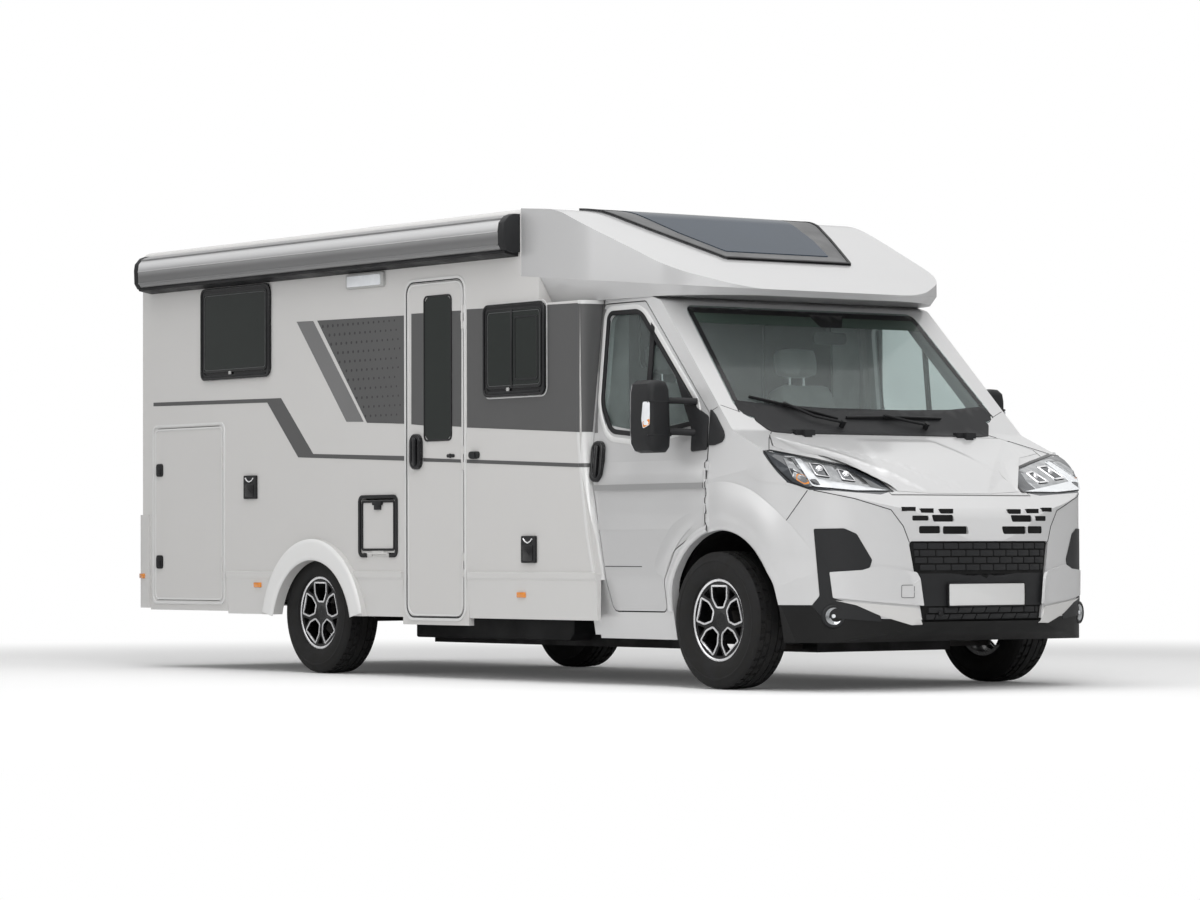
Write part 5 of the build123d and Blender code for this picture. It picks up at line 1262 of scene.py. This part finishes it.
def rimTrim(centre, rimName):
    # borders are laid on the disc in the wheel's own plane
    skin = (rimName,)
    cx, cz = centre
    machined = []
    for turn in range(5):
        start = 90 + 72 * turn
        wide = [polar(r, start + a) for r, a in wideBorder]
        border = ring([(cx + u, cz + v) for u, v in wide], rimTable["edge"], -0.003, 0.0025, 0.012, 0.0, 0.03)
        machined.append(laid(border, rightSide, skin))
    outer = placed(turned([(0.196, 0.0), (0.196, 0.010), (0.204, 0.016), (0.213, 0.016), (0.2165, 0.011), (0.2165, 0.0),
                           (0.196, 0.0)], 72), (cx, -(0.9105 + 0.0700), cz), rightSide)
    machined.append(outer)
    bolts = []
    for k in range(rimTable["bolts"]):
        u, v = polar(rimTable["boltRadius"] * 1000, 90 + 72 * k)
        head = bmesh.new()
        bmesh.ops.create_cone(head, cap_ends=True, segments=6, radius1=0.0105, radius2=0.009, depth=0.016)
        bolts.append(placed(head, (cx + u, -(0.9105 + 0.052), cz + v), rightSide))
    cap = placed(turned([(0.0, 0.012), (0.024, 0.0115), (0.031, 0.008), (0.034, 0.0), (0.034, -0.02), (0.0, -0.02)],
                        40),
                 (cx, -(0.9105 + 0.054), cz), rightSide)
    capRing = placed(turned([(0.034, -0.006), (0.034, 0.004), (0.038, 0.004), (0.040, -0.006), (0.034, -0.006)], 40),
                     (cx, -(0.9105 + 0.054), cz), rightSide)
    return machined, bolts, cap, capRing


def dressWheels():
    tyre = makeTyre(tyreTable)
    for end, x in (("front", 2.440), ("rear", -1.360)):
        for side in ("right", "left"):
            body = f"{end}_{side}_wheel"
            places = {"right": -tyreTable["middle"], "left": tyreTable["middle"]}
            shape = placed(tyre.copy(), (x, places[side], 0.358), rightSide if side == "right" else (0, 1, 0))
            piece = finished(f"{body}_tyre", shape, "rubber", body, 28)
            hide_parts(f"{end}_{side}_tyre")
            machined, bolts, cap, capRing = rimTrim((x, 0.358), f"{end}_right_rim")
            for stem, shapes, finish in (("edges", machined, "alloy"), ("bolts", bolts, "chrome"),
                                         ("cap", [cap], "wheelBlack"), ("cap_ring", [capRing], "alloy")):
                whole = gathered(shapes)
                if side == "left":
                    flipped(whole)
                finished(f"{body}_{stem}", whole, finish, body, 40)
    tyre.free()


dressWheels()
print("wheels made")

# ---- seats and dashboard
seatTable = {
    "y": 0.450,
    # cushion: x from, to, half width, z from, to;  back: foot, top, half widths, thickness
    "cushion": (1.430, 1.920, 0.238, 0.930, 1.080),
    "back": ((1.500, 1.060), (1.330, 1.640), 0.232, 0.190, 0.135),
    "head": ((1.322, 1.690), (1.300, 1.838), 0.135, 0.100),
    "swell": 0.018,
}


def pad(size, cuts=5):    # a box with enough faces to crown
    bm = bmesh.new()
    bmesh.ops.create_cube(bm, size=1.0)
    bmesh.ops.subdivide_edges(bm, edges=bm.edges[:], cuts=cuts, use_grid_fill=True)
    bmesh.ops.scale(bm, vec=size, verts=bm.verts)
    return bm


def crowned(bm, size, pull, crown):    # sides pull in at the corners, faces swell in the middle
    for v in bm.verts:
        a, b, c = v.co.x / (size[0] / 2), v.co.y / (size[1] / 2), v.co.z / (size[2] / 2)
        v.co.x *= 1 - pull * (b * b + c * c) / 2
        v.co.y *= 1 - pull * (a * a + c * c) / 2
        v.co.z += crown * (1 if c > 0 else -1) * abs(c) * (1 - a * a) * (1 - b * b)
    return bm


def softPiece(name, bm, groove=None):
    for turn in range(2):
        bmesh.ops.smooth_vert(bm, verts=bm.verts, factor=0.5, use_axis_x=True, use_axis_y=True, use_axis_z=True)
    bmesh.ops.recalc_face_normals(bm, faces=bm.faces)
    piece = finished(name, bm, "cloth", smooth=180)
    inflate(piece)
    smoother = piece.modifiers.new("smoother", "SUBSURF")
    smoother.levels = smoother.render_levels = 1
    return piece


clothTable = {"voxel": 0.010, "pressure": 4.0, "frames": 20, "cap": 0.012, "tension": 30}


def inflate(piece):    # the cover is remeshed and swells under pressure, held within a cap
    trial = bpy.data.objects.new("trial", piece.data.copy())
    bpy.context.scene.collection.objects.link(trial)
    remesh = trial.modifiers.new("remesh", "REMESH")
    remesh.mode = "VOXEL"
    remesh.voxel_size = clothTable["voxel"]
    shaped = trial.evaluated_get(bpy.context.evaluated_depsgraph_get())
    fine = bpy.data.meshes.new_from_object(shaped)
    trial.modifiers.clear()
    oldTrial, trial.data = trial.data, fine
    bpy.data.meshes.remove(oldTrial)
    start = [v.co.copy() for v in fine.vertices]
    cloth = trial.modifiers.new("cloth", "CLOTH")
    cloth.settings.use_pressure = True
    cloth.settings.uniform_pressure_force = clothTable["pressure"]
    cloth.settings.effector_weights.gravity = 0
    cloth.settings.tension_stiffness = clothTable["tension"]
    for number in range(1, clothTable["frames"] + 1):
        bpy.context.scene.frame_set(number)
    shaped = trial.evaluated_get(bpy.context.evaluated_depsgraph_get())
    ends = [v.co.copy() for v in shaped.data.vertices]
    moves = [new - old for old, new in zip(start, ends)]
    for v, old, move in zip(fine.vertices, start, moves):
        if move.length > clothTable["cap"]:
            move = move.normalized() * clothTable["cap"]
        v.co = old + move
    print("  swelled", piece.name, len(moves), "points, most", round(max(m.length for m in moves), 4))
    fine.materials.clear()
    fine.materials.append(finishes["cloth"])
    fine.shade_smooth()
    held, piece.data = piece.data, fine
    bpy.data.objects.remove(trial)
    bpy.data.meshes.remove(held)
    bpy.context.scene.frame_set(1)


def leaned(bm, foot, top, y):    # stands a pad between two points of its middle line
    foot, top = Vector((foot[0], 0, foot[1])), Vector((top[0], 0, top[1]))
    up = (top - foot).normalized()
    front = Vector((up.z, 0, -up.x))
    turn = Matrix((front, Vector((0, 1, 0)), up)).transposed().to_4x4()
    bmesh.ops.transform(bm, matrix=Matrix.Translation((foot + top) / 2 + Vector((0, y, 0))) @ turn, verts=bm.verts)
    return bm


def makeSeat(name, y, facts):
    x0, x1, half, z0, z1 = facts["cushion"]
    size = (x1 - x0, half * 2, z1 - z0)
    cushion = crowned(pad(size), size, 0.07, facts["swell"])
    bmesh.ops.translate(cushion, verts=cushion.verts, vec=((x0 + x1) / 2, y, (z0 + z1) / 2))
    made = [softPiece(f"{name}_cushion", cushion)]
    foot, top, low, high, thick = facts["back"]
    length = (Vector(top) - Vector(foot)).length
    size = (thick, low * 2, length)
    back = crowned(pad(size, 7), size, 0.05, 0.0)
    for v in back.verts:
        share = v.co.z / length + 0.5
        v.co.y *= 1 - (1 - high / low) * max(0.0, share) ** 2
        side = abs(v.co.y) / low
        v.co.x += 0.035 * side ** 3 * (1 if v.co.x > 0 else 0) - 0.012 * (1 - side) * (1 if v.co.x > 0 else 0)
    made.append(softPiece(f"{name}_back", leaned(back, foot, top, y)))
    foot, top, half, thick = facts["head"]
    length = (Vector(top) - Vector(foot)).length
    size = (thick, half * 2, length)
    head = leaned(crowned(pad(size, 5), size, 0.12, 0.0), foot, top, y)
    made.append(softPiece(f"{name}_headrest", head))
    base = slab([(1.44, 0.560), (1.90, 0.560), (1.86, 0.925), (1.46, 0.925)], -0.20, 0.20, 0.03, 0.01)
    finished(f"{name}_base", [placed(base, (0, y, 0), rightSide)], "dashPlastic")
    stalks = [tube([(1.326, y + s, 1.600), (1.318, y + s, 1.720)], 0.007) for s in (-0.05, 0.05)]
    finished(f"{name}_stalks", stalks, "chrome", smooth=60)
    rests = [slab([(1.480, 1.205), (1.800, 1.190), (1.800, 1.225), (1.470, 1.250)], -0.025, 0.025, 0.012, 0.008)]
    finished(f"{name}_armrest", [placed(s, (0, y + (0.235 if y < 0 else -0.235), 0), rightSide) for s in rests],
             "cloth")
    return made


makeSeat("right_seat", -seatTable["y"], seatTable)
makeSeat("left_seat", seatTable["y"], seatTable)

dashProfile = [(2.150, 0.920), (2.120, 1.040), (2.135, 1.160), (2.175, 1.235), (2.250, 1.272), (2.360, 1.296),
               (2.470, 1.292), (2.508, 1.270), (2.508, 0.980), (2.440, 0.910)]


def dashboard(profile):
    bm = outlined([(u, v) for u, v in profile])
    raised(bm, -0.915, 0.915, 0.0)
    body = placed(bm, (0, 0, 0), rightSide)
    hood = bmesh.new()
    bmesh.ops.create_uvsphere(hood, u_segments=24, v_segments=12, radius=1.0)
    bmesh.ops.scale(hood, vec=(0.130, 0.190, 0.058), verts=hood.verts)
    bmesh.ops.translate(hood, verts=hood.verts, vec=(2.215, 0.450, 1.282))
    centre = slab([(2.110, 1.05), (2.122, 1.235), (2.165, 1.250), (2.165, 1.05)], -0.13, 0.13, 0.01, 0.006)
    return [body, hood, placed(centre, (0, 0, 0), rightSide)]


dash = finished("dashboard", dashboard(dashProfile), "dashPlastic", smooth=40)
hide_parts("cab_furniture")
vents = []
for y in (-0.82, -0.30, 0.16, 0.82):
    vents.append(placed(ring(box(-0.060, 0.060, -0.035, 0.035), 0.008, -0.004, 0.006, 0.02, 0.002), (2.128, y, 1.170),
                        behind))
finished("dash_vents", vents, "blackPlastic")
screenPanel = slab(box(-0.115, 0.115, -0.070, 0.070), -0.012, 0.006, 0.012, 0.003)
finished("dash_screen", [placed(screenPanel, (2.112, 0.0, 1.200), (-0.97, 0, 0.24))], "glossBlack")
roofLining = slab([(0.9, 2.045), (1.86, 2.045), (1.86, 2.038), (0.9, 2.038)], -0.86, 0.86, 0.0)
finished("cab_lining", [placed(roofLining, (0, 0, 0), rightSide)], "cloth")
insideMirror = [slab(box(-0.115, 0.115, -0.032, 0.032), -0.010, 0.012, 0.026, 0.006)]
finished("inside_mirror", [placed(s, (1.990, 0.13, 1.865), behind) for s in insideMirror], "blackPlastic")
finished("inside_mirror_stalk", [tube([(1.960, 0.13, 1.955), (1.985, 0.13, 1.890)], 0.008)], "blackPlastic")
blinds = [slab([(1.300, 1.10), (1.316, 1.10), (1.316, 2.03), (1.300, 2.03)], -0.10, 0.10, 0.0)]
finishedPair("curtains", [placed(s, (0, -0.82, 0), rightSide) for s in blinds], "cloth")
print("inside made")
# ---- roof pieces and the awning case
awningCase = finished("awning_case", [acrossSection(awningProfile, awningSpan[0] + 0.045, awningSpan[1] - 0.045)],
                      "silverExtrusion", smooth=50)
ventTable = [
    # x from, to, y from, to, height of the frame, height of the dome
    (-1.815, -1.405, -0.455, -0.045, 0.030, 0.0915),
    (-0.505, 0.185, -0.255, 0.255, 0.018, 0.0445),
]
ventShapes, domeShapes = [], []
for x0, x1, y0, y1, low, high in ventTable:
    ventShapes.append(placed(slab([(x0, y0), (x1, y0), (x1, y1), (x0, y1)], -0.004, low, 0.04, 0.006), (0, 0, 2.600),
                             above))
    inset = 0.024
    domeShapes.append(placed(slab([(x0 + inset, y0 + inset), (x1 - inset, y0 + inset), (x1 - inset, y1 - inset),
                                   (x0 + inset, y1 - inset)], low - 0.002, high, 0.06, (high - low) * 0.45),
                             (0, 0, 2.600), above))
finished("vent_frames", ventShapes, "ventWhite")
finished("vent_domes", domeShapes, "ventWhite", smooth=50)
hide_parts("roof_fittings")

# ---- the back
tailTable = {"y": 0.979, "x": -3.401, "parts": [("red", 0.805, 0.918, "redLens"), ("amberPart", 0.745, 0.800, "amber"),
                                              ("white", 0.665, 0.740, "lampWhite")]}
for stem, z0, z1, finish in tailTable["parts"]:
    shapes = []
    for side in (-1, 1):
        y = side * tailTable["y"]
        shapes.append(placed(slab(box(-0.026, 0.026, z0, z1), -0.02, 0.0005, 0.012, 0.0), (tailTable["x"], y, 0),
                             behind))
    finished(f"tail_{stem}", shapes, finish)
backPlate = slab(box(-0.260, 0.260, 0.484, 0.598), -0.002, 0.0006, 0.010)
backFrame = ring(box(-0.266, 0.266, 0.478, 0.604), 0.008, -0.002, 0.0012, 0.014)
rearSkin = ("rear_bumper", "rear_wall")
finished("back_plate", [laid(backPlate, behind, rearSkin)], "frameWhite")
finished("back_plate_frame", [laid(backFrame, behind, rearSkin)], "blackPlastic")
reflectors = [laid(slab(box(y - 0.045, y + 0.045, 0.440, 0.465), -0.002, 0.0010, 0.008), behind,
                   rearSkin) for y in (-0.72, 0.72)]
finished("back_reflectors", reflectors, "redLens")
highLamp = laid(slab(box(-0.160, 0.160, 2.440, 2.470), -0.001, 0.010, 0.010, 0.003), behind, ("rear_wall",))
finished("high_brake_lamp", [highLamp], "redLens")
plateLamp = laid(slab(box(-0.050, 0.050, 0.652, 0.676), -0.001, 0.016, 0.008, 0.003), behind, rearSkin)
finished("plate_lamp", [plateLamp], "blackPlastic")
print("back made")
# a near-black box under the floor: it stands for the underfloor tank, and its black is also painted shade under the
# floor
underTankShade = slab([(-0.930, 0.215), (0.600, 0.215), (0.640, 0.260), (0.640, 0.415), (-0.930, 0.415)], -0.600, 0.600,
                 0.012, 0.010)
finished("under_tank_shade", [placed(underTankShade, (0, 0, 0), rightSide)], "blackPlastic", smooth=40)
# ---- floor and light
stageFacts = {"floorHalf": 60, "floorColour": (0.85, 0.85, 0.85), "lift": 0.05, "fadeStart": 5.2, "fadeEnd": 10.5}


def makeFloor(facts):
    bm = bmesh.new()
    bmesh.ops.create_grid(bm, x_segments=1, y_segments=1, size=facts["floorHalf"])
    mesh = bpy.data.meshes.new("floor")
    bm.to_mesh(mesh)
    bm.free()
    floor = bpy.data.objects.new("floor", mesh)
    bpy.context.scene.collection.objects.link(floor)
    made, tree, shader = blank("floorPaper")
    shader.inputs["Base Color"].default_value = (*facts["floorColour"], 1)
    shader.inputs["Roughness"].default_value = 0.9
    shader.inputs["Specular IOR Level"].default_value = 0.0
    shader.inputs["Emission Color"].default_value = (1, 1, 1, 1)
    point = objectPoint(tree)
    distance = tree.nodes.new("ShaderNodeVectorMath")
    distance.operation = "LENGTH"
    wire(tree, point, distance.inputs[0])
    far = ranged(tree, distance.outputs["Value"], 0, 1, facts["fadeStart"], facts["fadeEnd"])
    path = tree.nodes.new("ShaderNodeLightPath")
    seen = tree.nodes.new("ShaderNodeMath")
    seen.operation = "MAXIMUM"
    wire(tree, path.outputs["Is Camera Ray"], seen.inputs[0])
    wire(tree, path.outputs["Is Transmission Ray"], seen.inputs[1])
    lift = tree.nodes.new("ShaderNodeMath")
    lift.operation = "MULTIPLY"
    lift.inputs[1].default_value = facts["lift"]
    wire(tree, seen.outputs[0], lift.inputs[0])
    wire(tree, lift.outputs[0], shader.inputs["Emission Strength"])
    white = tree.nodes.new("ShaderNodeEmission")
    white.inputs["Color"].default_value = (1, 1, 1, 1)
    white.inputs["Strength"].default_value = 1.0
    mixed = tree.nodes.new("ShaderNodeMixShader")
    use = tree.nodes.new("ShaderNodeMath")
    use.operation = "MULTIPLY"
    wire(tree, far, use.inputs[0])
    wire(tree, seen.outputs[0], use.inputs[1])
    wire(tree, use.outputs[0], mixed.inputs["Fac"])
    wire(tree, shader.outputs["BSDF"], mixed.inputs[1])
    wire(tree, white.outputs["Emission"], mixed.inputs[2])
    wire(tree, mixed.outputs["Shader"], tree.nodes["Material Output"].inputs["Surface"])
    mesh.materials.append(made)
    floor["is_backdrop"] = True


def makeWorld():
    world = bpy.data.worlds.new("studio")
    bpy.context.scene.world = world
    world.use_nodes = True
    tree = world.node_tree
    back = tree.nodes["Background"]
    coord = tree.nodes.new("ShaderNodeTexCoord")
    split = tree.nodes.new("ShaderNodeSeparateXYZ")
    wire(tree, coord.outputs["Generated"], split.inputs["Vector"])
    shine = ranged(tree, split.outputs["Z"], 0.42, 1.0, 0.02, 0.55)
    path = tree.nodes.new("ShaderNodeLightPath")
    seen = tree.nodes.new("ShaderNodeMath")
    seen.operation = "MAXIMUM"
    wire(tree, path.outputs["Is Camera Ray"], seen.inputs[0])
    wire(tree, path.outputs["Is Transmission Ray"], seen.inputs[1])
    ambient = tree.nodes.new("ShaderNodeMix")
    ambient.data_type = "FLOAT"
    ambient.inputs["A"].default_value = 0.44
    wire(tree, path.outputs["Is Glossy Ray"], ambient.inputs["Factor"])
    wire(tree, shine, ambient.inputs["B"])
    level = tree.nodes.new("ShaderNodeMix")
    level.data_type = "FLOAT"
    wire(tree, seen.outputs[0], level.inputs["Factor"])
    wire(tree, ambient.outputs["Result"], level.inputs["A"])
    level.inputs["B"].default_value = 1.0
    wire(tree, level.outputs["Result"], back.inputs["Strength"])
    back.inputs["Color"].default_value = (1, 1, 1, 1)


lampTable = [
    # name, place, aim, width, height, watts
    ("top", (0.5, -1.5, 9.0), (0, 0, 1.0), 12.0, 8.0, 545),
    ("key", (11.0, -6.0, 7.0), (1.0, 0, 1.2), 6.0, 6.0, 620),
    ("side", (-3.0, -12.0, 5.0), (-1.0, 0, 1.2), 9.0, 4.0, 185),
]


def makeLamps(table):
    for name, place, aim, width, height, watts in table:
        data = bpy.data.lights.new(name, "AREA")
        data.shape = "RECTANGLE"
        data.size, data.size_y, data.energy = width, height, watts
        lamp = bpy.data.objects.new(name, data)
        lamp.location = place
        lamp.rotation_euler = (Vector(aim) - Vector(place)).to_track_quat("-Z", "Y").to_euler()
        bpy.context.scene.collection.objects.link(lamp)


makeFloor(stageFacts)
makeWorld()
makeLamps(lampTable)
print("stage ready")

# ---- sizes of the scene
low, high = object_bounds()
